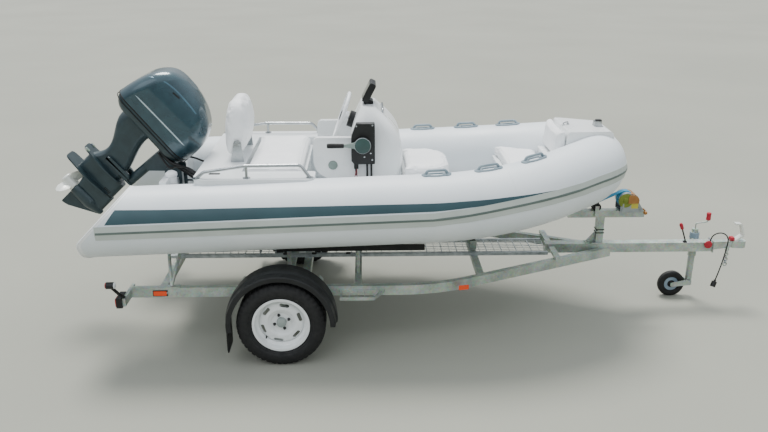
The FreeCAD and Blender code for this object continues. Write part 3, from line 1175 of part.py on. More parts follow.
leg_pin = rod(vec(JOCKEY_X, JOCKEY_Y, LEG_LOW - 36), vec(JOCKEY_X, JOCKEY_Y, LEG_LOW), 20)
crank = bar([vec(JOCKEY_X, JOCKEY_Y, BAR_TOP + 60), vec(JOCKEY_X, JOCKEY_Y, BAR_TOP + 106),
             vec(JOCKEY_X + 88, JOCKEY_Y, BAR_TOP + 116), vec(JOCKEY_X + 88, JOCKEY_Y, BAR_TOP + 140)],
            14.0, 9.0)
knob = rod(vec(JOCKEY_X + 88, JOCKEY_Y, BAR_TOP + 136), vec(JOCKEY_X + 88, JOCKEY_Y, BAR_TOP + 186), 30)
save("jockey_leg", [leg_tube.fuse([leg_pin, crank, knob])])
FORK_Y = 34.0
fork = rod(vec(JOCKEY_X, JOCKEY_Y, LEG_LOW - 34), vec(JOCKEY_X, JOCKEY_Y, LEG_LOW - 4), 46)
fork = fork.fuse(box(JOCKEY_X - 23, JOCKEY_X + 12, JOCKEY_Y - FORK_Y - 4, JOCKEY_Y + FORK_Y + 4,
                     LEG_LOW - 10, LEG_LOW - 4))
for y in (-FORK_Y - 4, FORK_Y):
    cheek = prism([(JOCKEY_X + 12, LEG_LOW - 4, 4), (JOCKEY_X + 12, LEG_LOW - 40, 10),
                   (JOCKEY_X - JOCKEY_TRAIL - 14, JOCKEY_R - 16, 12),
                   (JOCKEY_X - JOCKEY_TRAIL - 14, JOCKEY_R + 16, 12),
                   (JOCKEY_X - 60, LEG_LOW - 4, 10)], "xz", JOCKEY_Y + y, JOCKEY_Y + y + 4)
    fork = fork.fuse(cheek)
fork = fork.cut(rod(vec(JOCKEY_X, JOCKEY_Y, 60), vec(JOCKEY_X, JOCKEY_Y, 200), 2 * (10 + PIN_GAP)))
fork_pin = rod(vec(JOCKEY_X - JOCKEY_TRAIL, JOCKEY_Y - FORK_Y - 4, JOCKEY_R),
               vec(JOCKEY_X - JOCKEY_TRAIL, JOCKEY_Y + FORK_Y + 4, JOCKEY_R), 14)
save("jockey_fork", [fork.fuse(fork_pin)])
jockey_at = vec(JOCKEY_X - JOCKEY_TRAIL, JOCKEY_Y, JOCKEY_R)


def jockey_ring(points):
    spots = [(JOCKEY_Y + p[0], JOCKEY_R + p[1]) + tuple(p[2:]) for p in points]
    return Part.Face(stand(rounded(spots), "yz", jockey_at.x)).revolve(jockey_at, ACROSS, 360)


jockey_tyre = jockey_ring([(-22, 62), (22, 62), (24, 84, 12), (16, JOCKEY_R, 10),
                           (-16, JOCKEY_R, 10), (-24, 84, 12)])
jockey_rim = jockey_ring([(-28, 7 + PIN_GAP), (28, 7 + PIN_GAP), (28, 16, 3), (10, 30, 6),
                          (10, 54, 4), (21, 62 - SEAT_GAP), (-21, 62 - SEAT_GAP), (-10, 54, 4),
                          (-10, 30, 6), (-28, 16, 3)])
save("jockey_wheel", [jockey_tyre, jockey_rim])

# Tail lamps, marker lamps and reflectors
lamp_bar = box(-1010, -990, -790, -560, 385, 440)
lamp_box = box(-1048, -1010, -800, -690, 376, 444)
marker_arm = bar([vec(-1000, -770, 440), vec(-1024, -800, 480), vec(-1056, -835, 545)], 30.0, 20.0)
marker = rod(vec(-1078, -842, 556), vec(-1030, -842, 556), 44)
save("outriggers", both([strap, strap_rear, lamp_bar, side_step]))
side_reflector = box(-850, -754, -outer_y - 6, -outer_y, 392, 432)
marker = largest(marker_arm.fuse(marker).cut(lamp_bar).cut(lamp_box))
save("lamps", both([lamp_box, marker, side_reflector]))
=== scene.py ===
"""Finishes, soft pieces and fine detail of a rigid inflatable boat on its road trailer.

Metres. Places are written as x from the road wheels' axle towards the bow, y from the keel line
to port and z from the ground; spot() moves them into the frame of the model.
"""
import math
import bmesh
import bpy
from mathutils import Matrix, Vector
from mathutils.bvhtree import BVHTree


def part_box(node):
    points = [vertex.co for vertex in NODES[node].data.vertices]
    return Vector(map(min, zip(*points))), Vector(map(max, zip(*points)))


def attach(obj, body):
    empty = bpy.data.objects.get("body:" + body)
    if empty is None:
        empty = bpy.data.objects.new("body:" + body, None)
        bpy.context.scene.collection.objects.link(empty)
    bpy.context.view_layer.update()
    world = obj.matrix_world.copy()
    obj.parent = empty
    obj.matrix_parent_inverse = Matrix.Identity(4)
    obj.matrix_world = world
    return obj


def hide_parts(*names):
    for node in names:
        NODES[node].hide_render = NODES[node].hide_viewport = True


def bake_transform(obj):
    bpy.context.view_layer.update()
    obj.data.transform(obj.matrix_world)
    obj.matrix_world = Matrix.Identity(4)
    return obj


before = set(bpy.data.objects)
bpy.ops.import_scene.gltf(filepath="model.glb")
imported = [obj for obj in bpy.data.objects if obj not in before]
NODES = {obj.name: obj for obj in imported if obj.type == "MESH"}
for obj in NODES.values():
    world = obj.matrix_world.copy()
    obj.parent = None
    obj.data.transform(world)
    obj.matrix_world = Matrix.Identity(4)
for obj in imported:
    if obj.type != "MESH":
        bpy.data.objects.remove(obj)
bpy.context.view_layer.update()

# Where the middle of the whole length lies ahead of the axle
MIDDLE_X = 0.8663
BOAT = "boat_on_trailer"


def spot(x, y, z):
    """A place in the frame of the model."""
    return Vector((x - MIDDLE_X, y, z))


# Materials
def srgb(code):
    """Linear colour of an sRGB hex value."""
    parts = [int(code[i:i + 2], 16) / 255 for i in (1, 3, 5)]
    return [c / 12.92 if c <= 0.04045 else ((c + 0.055) / 1.055) ** 2.4 for c in parts] + [1.0]


def add(tree, kind, feeds=None, **settings):
    """Adds a node with its settings; feeds gives its inputs values or other nodes' outputs."""
    made = tree.nodes.new(kind)
    for key, value in settings.items():
        setattr(made, key, value)
    for key, value in (feeds or {}).items():
        if isinstance(value, bpy.types.NodeSocket):
            tree.links.new(value, made.inputs[key])
        else:
            made.inputs[key].default_value = value
    return made


def material(name, **sockets):
    """A material's tree, its shader and the place on the piece in metres."""
    made = bpy.data.materials.new(name)
    made.use_nodes = True
    tree = made.node_tree
    shader = tree.nodes["Principled BSDF"]
    for key, value in sockets.items():
        shader.inputs[key.replace("_", " ")].default_value = value
    place = add(tree, "ShaderNodeTexCoord").outputs["Object"]
    return made, tree, shader, place


def mottle(tree, place, patch, low, high):
    """Colour that drifts between two hex values over patches of a size in metres."""
    noise = add(tree, "ShaderNodeTexNoise", {"Vector": place, "Scale": 1 / patch, "Detail": 4.0})
    ramp = add(tree, "ShaderNodeValToRGB", {"Fac": noise.outputs["Fac"]})
    for stop, position, colour in zip(ramp.color_ramp.elements, (0.35, 0.68), (low, high)):
        stop.position = position
        stop.color = srgb(colour)
    return ramp.outputs["Color"]


def drift(tree, place, patch, low, high):
    """Number that drifts between two values over patches of a size in metres."""
    noise = add(tree, "ShaderNodeTexNoise", {"Vector": place, "Scale": 1 / patch, "Detail": 3.0})
    return add(tree, "ShaderNodeMapRange", {"Value": noise.outputs["Fac"], "From Min": 0.3,
                                            "From Max": 0.7, "To Min": low, "To Max": high}).outputs[0]


def grain(tree, place, size, height, strength=0.4, before=None):
    """Surface normal of a fine grain of a size and height in metres."""
    noise = add(tree, "ShaderNodeTexNoise", {"Vector": place, "Scale": 1 / size, "Detail": 2.0})
    feeds = {"Height": noise.outputs["Fac"], "Distance": height, "Strength": strength}
    if before is not None:
        feeds["Normal"] = before
    return add(tree, "ShaderNodeBump", feeds).outputs["Normal"]


# A wave texture of scale 1 has its ridges this far apart
WAVE_APART = 0.314


def bands(tree, place, spacing, direction, height, strength=0.4, wobble=0.4, before=None):
    """Surface normal of parallel ridges a distance apart."""
    ridges = add(tree, "ShaderNodeTexWave", {"Vector": place, "Scale": WAVE_APART / spacing,
                                             "Distortion": wobble}, bands_direction=direction)
    feeds = {"Height": ridges.outputs["Fac"], "Distance": height, "Strength": strength}
    if before is not None:
        feeds["Normal"] = before
    return add(tree, "ShaderNodeBump", feeds).outputs["Normal"]


def wire(tree, shader, **feeds):
    """Links nodes' outputs to the shader's sockets of those names."""
    for key, value in feeds.items():
        tree.links.new(value, shader.inputs[key.replace("_", " ")])


def surface(name, colour, rough, relief=None, **sockets):
    """Finish of (patch, low, high) colour and roughness and a grain of (size, height, strength)."""
    made, tree, shader, place = material(name, **sockets)
    wire(tree, shader, Base_Color=mottle(tree, place, *colour), Roughness=drift(tree, place, *rough))
    if relief:
        wire(tree, shader, Normal=grain(tree, place, *relief))
    return made


def tube_fabric():
    """Polyester cloth with a calendered rubber skin: even satin, faint weave, a little dust."""
    made, tree, shader, place = material("coated_tube_fabric", IOR=1.5)
    # threads are 0.5 mm apart; drawn at 3 mm so that they show
    cloth = bands(tree, place, 0.003, "X", 0.0003, 0.10)
    cloth = bands(tree, place, 0.003, "Z", 0.0003, 0.10, before=cloth)
    wire(tree, shader, Base_Color=mottle(tree, place, 0.5, "#DDE4E8", "#E7ECEF"),
         Roughness=drift(tree, place, 0.3, 0.40, 0.52),
         Normal=grain(tree, place, 0.25, 0.002, 0.15, before=cloth))
    return made


def bonded_band(name, low, high):
    """Fabric band bonded to the tube: matt with a faint weave."""
    made, tree, shader, place = material(name, IOR=1.5)
    wire(tree, shader, Base_Color=mottle(tree, place, 0.3, low, high),
         Roughness=drift(tree, place, 0.1, 0.42, 0.52), Normal=bands(tree, place, 0.003, "X", 0.0002, 0.1))
    return made


def gelcoat(name, low, high, rough):
    """Polyester gelcoat off a polished mould: glossy with a slight long ripple."""
    return surface(name, (0.4, low, high), (0.2, rough, rough + 0.1), (0.12, 0.002, 0.2),
                   IOR=1.5, Coat_Weight=0.35, Coat_Roughness=0.12)


def non_slip_gelcoat():
    """Gelcoat with a moulded non-slip diamond pattern, 8 mm apart, dusty in its valleys."""
    made, tree, shader, place = material("non_slip_gelcoat", IOR=1.5)
    dots = add(tree, "ShaderNodeTexVoronoi", {"Vector": place, "Scale": 1 / 0.008, "Randomness": 0.0},
               distance="CHEBYCHEV")
    bumps = add(tree, "ShaderNodeBump", {"Height": dots.outputs["Distance"], "Distance": 0.001,
                                         "Strength": 0.5}).outputs["Normal"]
    wire(tree, shader, Base_Color=mottle(tree, place, 0.3, "#C9CDCE", "#D6D9DA"),
         Roughness=drift(tree, place, 0.2, 0.45, 0.6), Normal=bumps)
    return made


def marine_vinyl():
    """Embossed marine vinyl over foam: soft satin white with a leather grain of about 2 mm."""
    made, tree, shader, place = material("embossed_marine_vinyl", IOR=1.5)
    pores = add(tree, "ShaderNodeTexVoronoi", {"Vector": place, "Scale": 1 / 0.002}, feature="SMOOTH_F1")
    skin = add(tree, "ShaderNodeBump", {"Height": pores.outputs["Distance"], "Distance": 0.0004,
                                        "Strength": 0.35}).outputs["Normal"]
    wire(tree, shader, Base_Color=mottle(tree, place, 0.15, "#EDEFF0", "#F4F5F6"),
         Roughness=drift(tree, place, 0.1, 0.42, 0.55),
         Normal=grain(tree, place, 0.06, 0.0015, 0.2, before=skin))
    return made


def galvanised():
    """Hot-dip galvanised steel: a pale grey-green zinc skin with spangles of about 12 mm."""
    made, tree, shader, place = material("hot_dip_galvanised_steel", Metallic=0.7)
    spangle = add(tree, "ShaderNodeTexVoronoi", {"Vector": place, "Scale": 1 / 0.012})
    tone = add(tree, "ShaderNodeMix", {0: 0.25, 6: mottle(tree, place, 0.10, "#9FAAA3", "#BDC6BF"),
                                       7: spangle.outputs["Color"]}, data_type="RGBA",
               blend_type="SOFT_LIGHT")
    wire(tree, shader, Base_Color=tone.outputs[2], Roughness=drift(tree, place, 0.02, 0.38, 0.58),
         Normal=grain(tree, place, 0.03, 0.0006, 0.3))
    return made


def plastic(name, low, high, rough, size=0.0015):
    """Moulded plastic with a spark-eroded grain."""
    return surface(name, (0.08, low, high), (0.05, rough, rough + 0.12), (size, 0.0002), IOR=1.46)


def lacquer(name, low, high, rough, coat, metal=0.0):
    """Sprayed paint: smooth, with a faint orange peel."""
    return surface(name, (0.06, low, high), (0.15, rough, rough + 0.08), (0.004, 0.00008, 0.3),
                   IOR=1.5, Coat_Weight=coat, Coat_Roughness=0.06, Metallic=metal)


def webbing():
    """Woven polyester webbing, teal blue, ribbed across every 2 mm."""
    made, tree, shader, place = material("woven_polyester_webbing", IOR=1.5)
    wire(tree, shader, Base_Color=mottle(tree, place, 0.03, "#1F7FA8", "#3A8FB0"),
         Roughness=drift(tree, place, 0.02, 0.7, 0.85), Normal=bands(tree, place, 0.002, "X", 0.0004))
    return made


def lens(name, colour):
    """Clear-coloured acrylic lamp lens with moulded ribs."""
    made, tree, shader, place = material(name, IOR=1.49, Roughness=0.12)
    wire(tree, shader, Base_Color=mottle(tree, place, 0.03, colour, colour),
         Normal=bands(tree, place, 0.005, "Z", 0.0008, 0.5, 0.0))
    return made


FABRIC = tube_fabric()
# extruded rubber rubbing strake, light grey with a soft sheen
STRAKE = surface("extruded_grey_rubber", (0.2, "#B4BCB6", "#BEC5BF"), (0.1, 0.45, 0.6), (0.004, 0.0002),
                 IOR=1.5)
SLATE = bonded_band("bonded_slate_fabric", "#25444C", "#2B4D55")
# dark grey-green bead on the strake, drawn wider and darker than the rubber alone as painted shade of the
# strake's groove
STRAKE_BEAD_AND_GROOVE_SHADE = bonded_band("grey_green_bead_and_groove_shade", "#56645F", "#626F6A")
# whiter band round each tube's end: painted highlight on the end face turned up to the light
END_BAND_HIGHLIGHT = bonded_band("white_end_band_painted_highlight", "#EEF1F2", "#F6F7F8")
WHITE_HULL = gelcoat("white_gelcoat", "#E6EAEA", "#EEF0F0", 0.24)
MOULDING = gelcoat("light_grey_gelcoat", "#E2E7E8", "#EAEDEE", 0.30)
SOLE = non_slip_gelcoat()
VINYL = marine_vinyl()
PIPING = plastic("extruded_vinyl_piping", "#DDE1E3", "#E6E9EA", 0.45)
# polished stainless tube: bright, with faint rub marks
STEEL = surface("polished_stainless", (0.05, "#9EA3A5", "#B4B8BA"), (0.02, 0.14, 0.26), (0.01, 0.0001, 0.2),
                Metallic=1.0)
ZINC = galvanised()
# bright welded zinc-coated wire of the walkway mesh
WIRE = surface("zinc_coated_wire", (0.05, "#A4ABAF", "#C8CED1"), (0.02, 0.4, 0.6), Metallic=0.85)
BLACK = plastic("moulded_black_polypropylene", "#0B0D0E", "#141618", 0.42)
GUARD = plastic("pressed_black_polyethylene", "#101214", "#191B1D", 0.48, 0.003)
GREY_PLASTIC = plastic("moulded_grey_nylon", "#7E8F99", "#93A2AA", 0.4)
SLEEVE = plastic("moulded_blue_grey_nylon", "#7C8F9E", "#8FA0AC", 0.4)
DARK_GREEN = plastic("moulded_dark_green_nylon", "#2A423F", "#33504D", 0.35)
GREY_GREEN = plastic("moulded_grey_green_nylon", "#75857F", "#84938D", 0.38)
WHITE_PLASTIC = plastic("moulded_white_polyurethane", "#E4E7E8", "#EEF0F1", 0.35)
RED_GRIP = plastic("moulded_red_vinyl", "#A3172B", "#B32236", 0.4)
LABEL = plastic("printed_yellow_label", "#B9AE3C", "#C4B947", 0.5)
SCREEN = plastic("smoked_acrylic_screen", "#101418", "#161B20", 0.10)
COWL = lacquer("teal_metallic_lacquer", "#203E49", "#284852", 0.24, 0.8, 0.35)
# lighter teal laid along the cowl's crease: a painted highlight where the shoulder turns up towards the sky
CREASE_HIGHLIGHT = lacquer("painted_highlight_teal_lacquer", "#44687A", "#4F7688", 0.26, 0.8, 0.35)
# dark marine aluminium paint of the castings; the same colour also serves on the cowl as painted shade of
# its recesses
CASTING_AND_RECESS_SHADE = lacquer("marine_aluminium_paint_and_recess_shade", "#22343A", "#2A3D43", 0.34, 0.3, 0.2)
SILVER = lacquer("brushed_silver_trim", "#AFC3CC", "#C4D3D9", 0.3, 0.3, 0.6)
ALLOY = lacquer("polished_light_alloy", "#D6D9D3", "#E4E6E0", 0.32, 0.3, 0.3)
# near-black engine paint; also used on the wheel bolts as painted shade of their recessed seats
ENGINE_PAINT_AND_BOLT_SHADE = lacquer("cast_engine_paint_and_bolt_shade", "#1C1E20", "#2A2C2E", 0.5, 0.0)
WHEEL_WHITE = lacquer("white_powder_coat", "#E4E7E7", "#EEF0F0", 0.34, 0.1)
CAP = plastic("moulded_grey_cap", "#8F9996", "#A3ACA8", 0.4)
WINCH_PAINT = lacquer("zinc_plated_winch_steel", "#8C9498", "#A3ABAF", 0.34, 0.2, 0.6)
DRUM_GREEN = lacquer("yellow_passivated_steel", "#6C7A24", "#7D8A30", 0.40, 0.1, 0.3)
WINCH_GUARD = lacquer("orange_brown_passivated_steel", "#9C6A34", "#B07E44", 0.36, 0.2, 0.4)
# carbon-black tyre rubber, matt, with road dust on it
TYRE = surface("carbon_black_tyre_rubber", (0.05, "#101112", "#1A1A1B"), (0.03, 0.62, 0.8), (0.002, 0.0003),
               IOR=1.5)
RUBBER = plastic("moulded_black_rubber", "#0C0D0D", "#151616", 0.6, 0.004)
WEBBING = webbing()
SHEATH = plastic("black_cable_sheath", "#0A0B0C", "#121314", 0.38, 0.003)
RED_WIRE = plastic("red_cable_sheath", "#A33A44", "#B4525A", 0.4, 0.003)
RED_LENS = lens("red_acrylic_lens", "#B3160F")
AMBER = lens("amber_acrylic_reflector", "#F0501E")
CLEAR_LENS = lens("clear_acrylic_lens", "#E4E8E9")

NODE_FINISH = {
    FABRIC: ["collar"],
    STRAKE: ["rub_strake"],
    WHITE_HULL: ["hull", "console", "front_seat_box", "bow_step"],
    MOULDING: ["transom", "stern_seat_box", "bow_locker", "aft_lid", "front_lid", "bow_lid"],
    SOLE: ["deck"],
    VINYL: ["aft_cushion", "backrest", "front_cushion", "bow_cushion", "bow_backrest"],
    STEEL: ["stainless_rails", "hinge_fittings", "bow_fittings"],
    GREY_PLASTIC: ["grab_handles"],
    BLACK: ["console_fittings", "control_box", "display", "lamps"],
    WHITE_PLASTIC: ["steering_wheel"],
    COWL: ["motor_cowl"],
    CASTING_AND_RECESS_SHADE: ["motor_pan", "motor_leg", "gearcase", "swivel_bracket", "motor_clamp"],
    ALLOY: ["propeller", "coupling_handle"],
    ENGINE_PAINT_AND_BOLT_SHADE: ["powerhead"],
    ZINC: ["side_beams", "drawbar", "cross_members", "axle", "outriggers", "winch_post", "coupling",
           "safety_chain", "jockey_leg", "jockey_fork"],
    WIRE: ["walkway"],
    TYRE: ["tyre_starboard", "tyre_port"],
    WHEEL_WHITE: ["rim_starboard", "rim_port"],
    GUARD: ["mudguards"],
    RUBBER: ["hull_pads", "jockey_wheel"],
    WINCH_PAINT: ["winch"],
    WEBBING: ["winch_strap"],
    SHEATH: ["trailer_plug", "trailer_cable"],
}
for finish, names in NODE_FINISH.items():
    for name in names:
        mesh = NODES[name].data
        mesh.materials.clear()
        mesh.materials.append(finish)


# Cable
# the route's points, in the order of the real cable, from the drawbar's gland to the plug
CABLE_ROUTE = [(3.084, -0.022, 0.487), (3.088, -0.024, 0.515), (3.103, -0.028, 0.540),
               (3.128, -0.034, 0.556), (3.157, -0.041, 0.559), (3.183, -0.047, 0.547),
               (3.199, -0.052, 0.523), (3.202, -0.057, 0.492), (3.190, -0.068, 0.439),
               (3.167, -0.090, 0.364), (3.141, -0.112, 0.292), (3.113, -0.130, 0.224)]
CABLE_THICK = 0.009


def cable():
    """Lamp cable from the drawbar over a hump and down to its plug."""
    line = bpy.data.curves.new("trailer_lead", "CURVE")
    line.dimensions = "3D"
    line.bevel_depth = CABLE_THICK / 2
    line.bevel_resolution = 4
    line.use_fill_caps = True
    spline = line.splines.new("NURBS")
    spline.points.add(len(CABLE_ROUTE) - 1)
    for point, place in zip(spline.points, CABLE_ROUTE):
        point.co = (*spot(*place), 1.0)
    spline.order_u = 3
    spline.use_endpoint_u = True
    spline.resolution_u = 12
    piece = bpy.data.objects.new("trailer_lead", line)
    bpy.context.collection.objects.link(piece)
    line.materials.append(SHEATH)
    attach(piece, BOAT)
    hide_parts("trailer_cable")


cable()


# Shaping tools. Places are in the axle frame; piece() moves them into the frame of the model.
# points nearer than MERGE become one, and a turned profile's own axis has the radius LEAST_R
MERGE = 0.00001
LEAST_R = 0.00002


def skin(rows, ring=True, loop=False):
    """Quads between rows of points; a ring closes each row, a loop joins the last row to the first."""
    count = len(rows[0])
    points = [tuple(p) for row in rows for p in row]
    faces = []
    pairs = list(zip(range(len(rows)), range(1, len(rows))))
    if loop:
        pairs.append((len(rows) - 1, 0))
    for r, s in pairs:
        for i in range(count if ring else count - 1):
            j = (i + 1) % count
            faces.append((r * count + i, r * count + j, s * count + j, s * count + i))
    if ring and not loop:
        faces.append(tuple(range(count)))
        faces.append(tuple(range(len(points) - count, len(points))))
    return points, faces


def gather(skins):
    """Several skins as one."""
    points = []
    faces = []
    for more, quads in skins:
        faces += [tuple(i + len(points) for i in quad) for quad in quads]
        points += more
    return points, faces


def twins(shape):
    """A starboard skin and its port mirror image."""
    points, faces = shape
    return gather([shape, ([(x, -y, z) for x, y, z in points], faces)])


def piece(name, body, slot, finish, shape, hides=(), sharp=38.0):
    """A mesh made of a skin, riding on a body, with its finish; slot is not used."""
    points, faces = shape
    mesh = bpy.data.meshes.new(name)
    mesh.from_pydata([tuple(spot(*p)) for p in points], [], faces)
    form = bmesh.new()
    form.from_mesh(mesh)
    bmesh.ops.remove_doubles(form, verts=form.verts, dist=MERGE)
    bmesh.ops.recalc_face_normals(form, faces=form.faces)
    form.to_mesh(mesh)
    form.free()
    mesh.shade_smooth()
    mesh.set_sharp_from_angle(angle=math.radians(sharp))
    mesh.materials.append(finish)
    made = bpy.data.objects.new(name, mesh)
    bpy.context.collection.objects.link(made)
    if body:
        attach(made, body)
    if hides:
        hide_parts(*hides)
    return made


def curve(points, steps=8):
    """Smooth route through points, with steps between each two."""
    spots = [Vector(p) for p in points]
    last = len(spots) - 1
    route = []
    for i in range(last):
        a, b, c, d = (spots[min(max(i + k, 0), last)] for k in (-1, 0, 1, 2))
        for step in range(steps):
            t = step / steps
            route.append(0.5 * (2 * b + (c - a) * t + (2 * a - 5 * b + 4 * c - d) * t ** 2
                                + (3 * b - a - 3 * c + d) * t ** 3))
    return route + [spots[-1]]


def turns(steps):
    """Even angles round a circle."""
    return [2 * math.pi * k / steps for k in range(steps)]


def pipe(route, radius, sides=10, closed=False):
    """Round bar along a route."""
    spots = [Vector(p) for p in route]
    count = len(spots)
    rows = []
    across = None
    for i, at in enumerate(spots):
        ahead = spots[(i + 1) % count] if closed or i < count - 1 else at
        behind = spots[i - 1] if closed or i else at
        heading = (ahead - behind).normalized()
        if across is None:
            across = heading.orthogonal()
        across = (across - heading * across.dot(heading)).normalized()
        up = heading.cross(across)
        rows.append([at + (across * math.cos(a) + up * math.sin(a)) * radius for a in turns(sides)])
    return skin(rows, loop=closed)


def turned(profile, centre, axis, steps=32, hollow=False):
    """Profile of (distance along the axis, radius) turned about an axis; hollow makes it a ring."""
    along = Vector(axis).normalized()
    across = along.orthogonal().normalized()
    up = along.cross(across)
    rows = []
    for far, radius in profile:
        rows.append([Vector(centre) + along * far
                     + (across * math.cos(a) + up * math.sin(a)) * max(radius, LEAST_R)
                     for a in turns(steps)])
    return skin(rows, loop=hollow)


def rounded(points, steps=6):
    """Closed flat outline; a point's third number rounds its corner."""
    outline = []
    for i, point in enumerate(points):
        at = Vector(point[:2])
        radius = point[2] if len(point) > 2 else 0.0
        if not radius:
            outline.append(at)
            continue
        back = (Vector(points[i - 1][:2]) - at).normalized()
        ahead = (Vector(points[(i + 1) % len(points)][:2]) - at).normalized()
        half = back.angle(ahead) / 2
        centre = at + (back + ahead).normalized() * (radius / math.sin(half))
        start = at + back * (radius / math.tan(half)) - centre
        end = at + ahead * (radius / math.tan(half)) - centre
        for step in range(steps + 1):
            t = step / steps
            swung = start.lerp(end, t).normalized() * radius
            outline.append(centre + swung)
    return outline


def slab(points, plane, low, high, edge=0.0015, steps=6):
    """Flat outline between two levels across its plane, its edges eased by a chamfer."""
    outline = rounded(points, steps)
    middle = sum(outline, Vector((0, 0))) / len(outline)
    place = {"xy": lambda p, h: (p[0], p[1], h), "xz": lambda p, h: (p[0], h, p[1]),
             "yz": lambda p, h: (h, p[0], p[1])}[plane]
    rows = []
    for level, inset in ((low, edge), (low + edge, 0.0), (high - edge, 0.0), (high, edge)):
        rows.append([place(p + (middle - p).normalized() * inset, level) for p in outline])
    return skin(rows)


def plate(a0, a1, b0, b1, corner, plane, low, high, edge, steps=6):
    """Rectangular slab with rounded corners."""
    return slab([(a0, b0, corner), (a1, b0, corner), (a1, b1, corner), (a0, b1, corner)],
                plane, low, high, edge, steps)


def block(x0, x1, y0, y1, z0, z1, edge=0.002):
    """Upright box with eased edges."""
    return plate(x0, x1, y0, y1, edge, "xy", z0, z1, edge, 2)


def hoop(x, y, z, radius, thick, sides, steps):
    """Round bar bent to a circle that faces sideways."""
    route = [(x + radius * math.cos(a), y, z + radius * math.sin(a)) for a in turns(steps)]
    return pipe(route, thick, sides, True)


# The collar's line, level at first and then pitched bow-up as the tube is
TUBE_R = 0.220
TUBE_Y = 0.620
TUBE_Z = 0.938
TUBE_PITCH = math.radians(2.06)
STERN_X = -1.166
STERN_TIP_X = -1.240
STERN_TIP_ROUND = 0.060
STERN_SLANT_DEG = 43.4
STERN_SLANT = math.tan(math.radians(STERN_SLANT_DEG))
STRIPE_REAR_X = -1.045
STRAIGHT_END_X = 0.960
SWEEP_R = 1.796
SWEEP_DEG = 29.43
NOSE_R = 0.315
NOSE_FLAT = 0.045
UP = Vector((0, 0, 1))
ACROSS = Vector((0, 1, 0))
SHEER_IN = Vector((0, math.cos(math.radians(15.5)), math.sin(math.radians(15.5))))


def collar_line(part, at):
    """Centre and heading on the starboard tube: side in x, sweep and nose in degrees, flat in y."""
    if part == "side":
        return Vector((at, -TUBE_Y, TUBE_Z)), Vector((1, 0, 0))
    turn = math.radians(min(at, SWEEP_DEG) if part == "sweep" else SWEEP_DEG)
    centre = (Vector((STRAIGHT_END_X, -TUBE_Y, TUBE_Z)) + Vector((1, 0, 0)) * SWEEP_R * math.sin(turn)
              + SHEER_IN * SWEEP_R * (1 - math.cos(turn)))
    heading = Vector((1, 0, 0)) * math.cos(turn) + SHEER_IN * math.sin(turn)
    if part == "sweep":
        return centre, heading
    inward = (ACROSS - heading * heading.dot(ACROSS)).normalized()
    swing = math.radians(at)
    whole = heading.angle(ACROSS)
    aside = heading.y * math.sin(whole) + inward.y * (1 - math.cos(whole))
    run = -(NOSE_FLAT + centre.y + aside * NOSE_R)
    start = centre + heading * (run / heading.y)
    if part == "flat":
        end = start + heading * NOSE_R * math.sin(whole) + inward * NOSE_R * (1 - math.cos(whole))
        return Vector((end.x, at, end.z)), ACROSS.copy()
    return (start + heading * NOSE_R * math.sin(swing) + inward * NOSE_R * (1 - math.cos(swing)),
            heading * math.cos(swing) + inward * math.sin(swing))


def on_collar(part, at, height, out):
    """Point at a distance from the tube's line, at a height in degrees above straight outward."""
    centre, heading = collar_line(part, at)
    up = (UP - heading * heading.dot(UP)).normalized()
    side = heading.cross(up)
    angle = math.radians(height)
    spot_at = centre + side * (out * math.cos(angle)) + up * (out * math.sin(angle))
    z = spot_at.z - TUBE_Z
    return Vector((spot_at.x * math.cos(TUBE_PITCH) - z * math.sin(TUBE_PITCH), spot_at.y,
                   TUBE_Z + spot_at.x * math.sin(TUBE_PITCH) + z * math.cos(TUBE_PITCH)))


def between(table, part, at):
    """Heights from a table of (part, place, heights...) between its two nearest places."""
    rows = [row for row in table if row[0] == part]
    for low, high in zip(rows, rows[1:]):
        if low[1] <= at <= high[1]:
            t = (at - low[1]) / (high[1] - low[1])
            return [a + (b - a) * t for a, b in zip(low[2:], high[2:])]
    return list(rows[-1][2:] if at > rows[-1][1] else rows[0][2:])


# Stripe: part, place, top and bottom height in degrees
STRIPE = [("side", -1.05, 37.8, 13.9), ("side", -0.64, 34.6, 13.7), ("side", -0.308, 33.1, 13.6),
          ("side", 0.30, 29.8, 13.8), ("side", 0.96, 26.8, 13.6), ("sweep", 0.0, 26.8, 13.6),
          ("sweep", 5.8, 26.7, 15.6), ("sweep", 14.1, 23.8, 16.6), ("sweep", 19.0, 20.6, 16.6),
          ("sweep", 24.2, 16.6, 16.0)]
# how far the stripe's rear edge leans forward, and the length over which the lean dies out
STRIPE_SLANT = 0.064
STRIPE_LEAN_LONG = 0.3
# Dark line on the rub strake's ridge: part, place, height in degrees
RIDGE = [("side", -1.10, 0.5), ("side", 0.30, 0.2), ("side", 0.96, 0.0), ("sweep", 0.0, 0.0),
         ("sweep", 6.0, 3.2), ("sweep", 10.0, 5.4), ("sweep", 14.0, 6.8), ("sweep", 18.0, 7.0),
         ("sweep", 23.0, 6.2), ("sweep", SWEEP_DEG, 4.0), ("nose", 0.0, 3.5), ("nose", 8.0, 3.1),
         ("nose", 16.0, 2.2), ("nose", 24.0, 0.5), ("nose", 32.0, -1.8), ("nose", 41.0, -4.0),
         ("nose", 50.0, -5.0), ("nose", 60.0, -5.0), ("flat", -0.045, -5.0), ("flat", 0.0, -5.0)]


def tube_stripe():
    """Slate band bonded high on each tube, cut slanting at the stern and to a point at the bow."""
    places = [("side", STRIPE_REAR_X + 0.048 * i) for i in range(42)]
    places += [("sweep", 0.8 * i) for i in range(31)]
    rows = []
    for part, at in places:
        top, bottom = between(STRIPE, part, at)
        row = []
        for k in range(9):
            height = bottom + (top - bottom) * k / 8
            near = max(0.0, 1 - (at - STRIPE_REAR_X) / STRIPE_LEAN_LONG) if part == "side" else 0.0
            lean = STRIPE_SLANT * near * k / 8
            row.append((part, at + lean, height))
        outer = [on_collar(p, x, h, TUBE_R + 0.0014) for p, x, h in row]
        inner = [on_collar(p, x, h, TUBE_R - 0.002) for p, x, h in reversed(row)]
        rows.append(outer + inner)
    piece("tube_stripes", BOAT, "collar_fabric", SLATE, twins(skin(rows)))


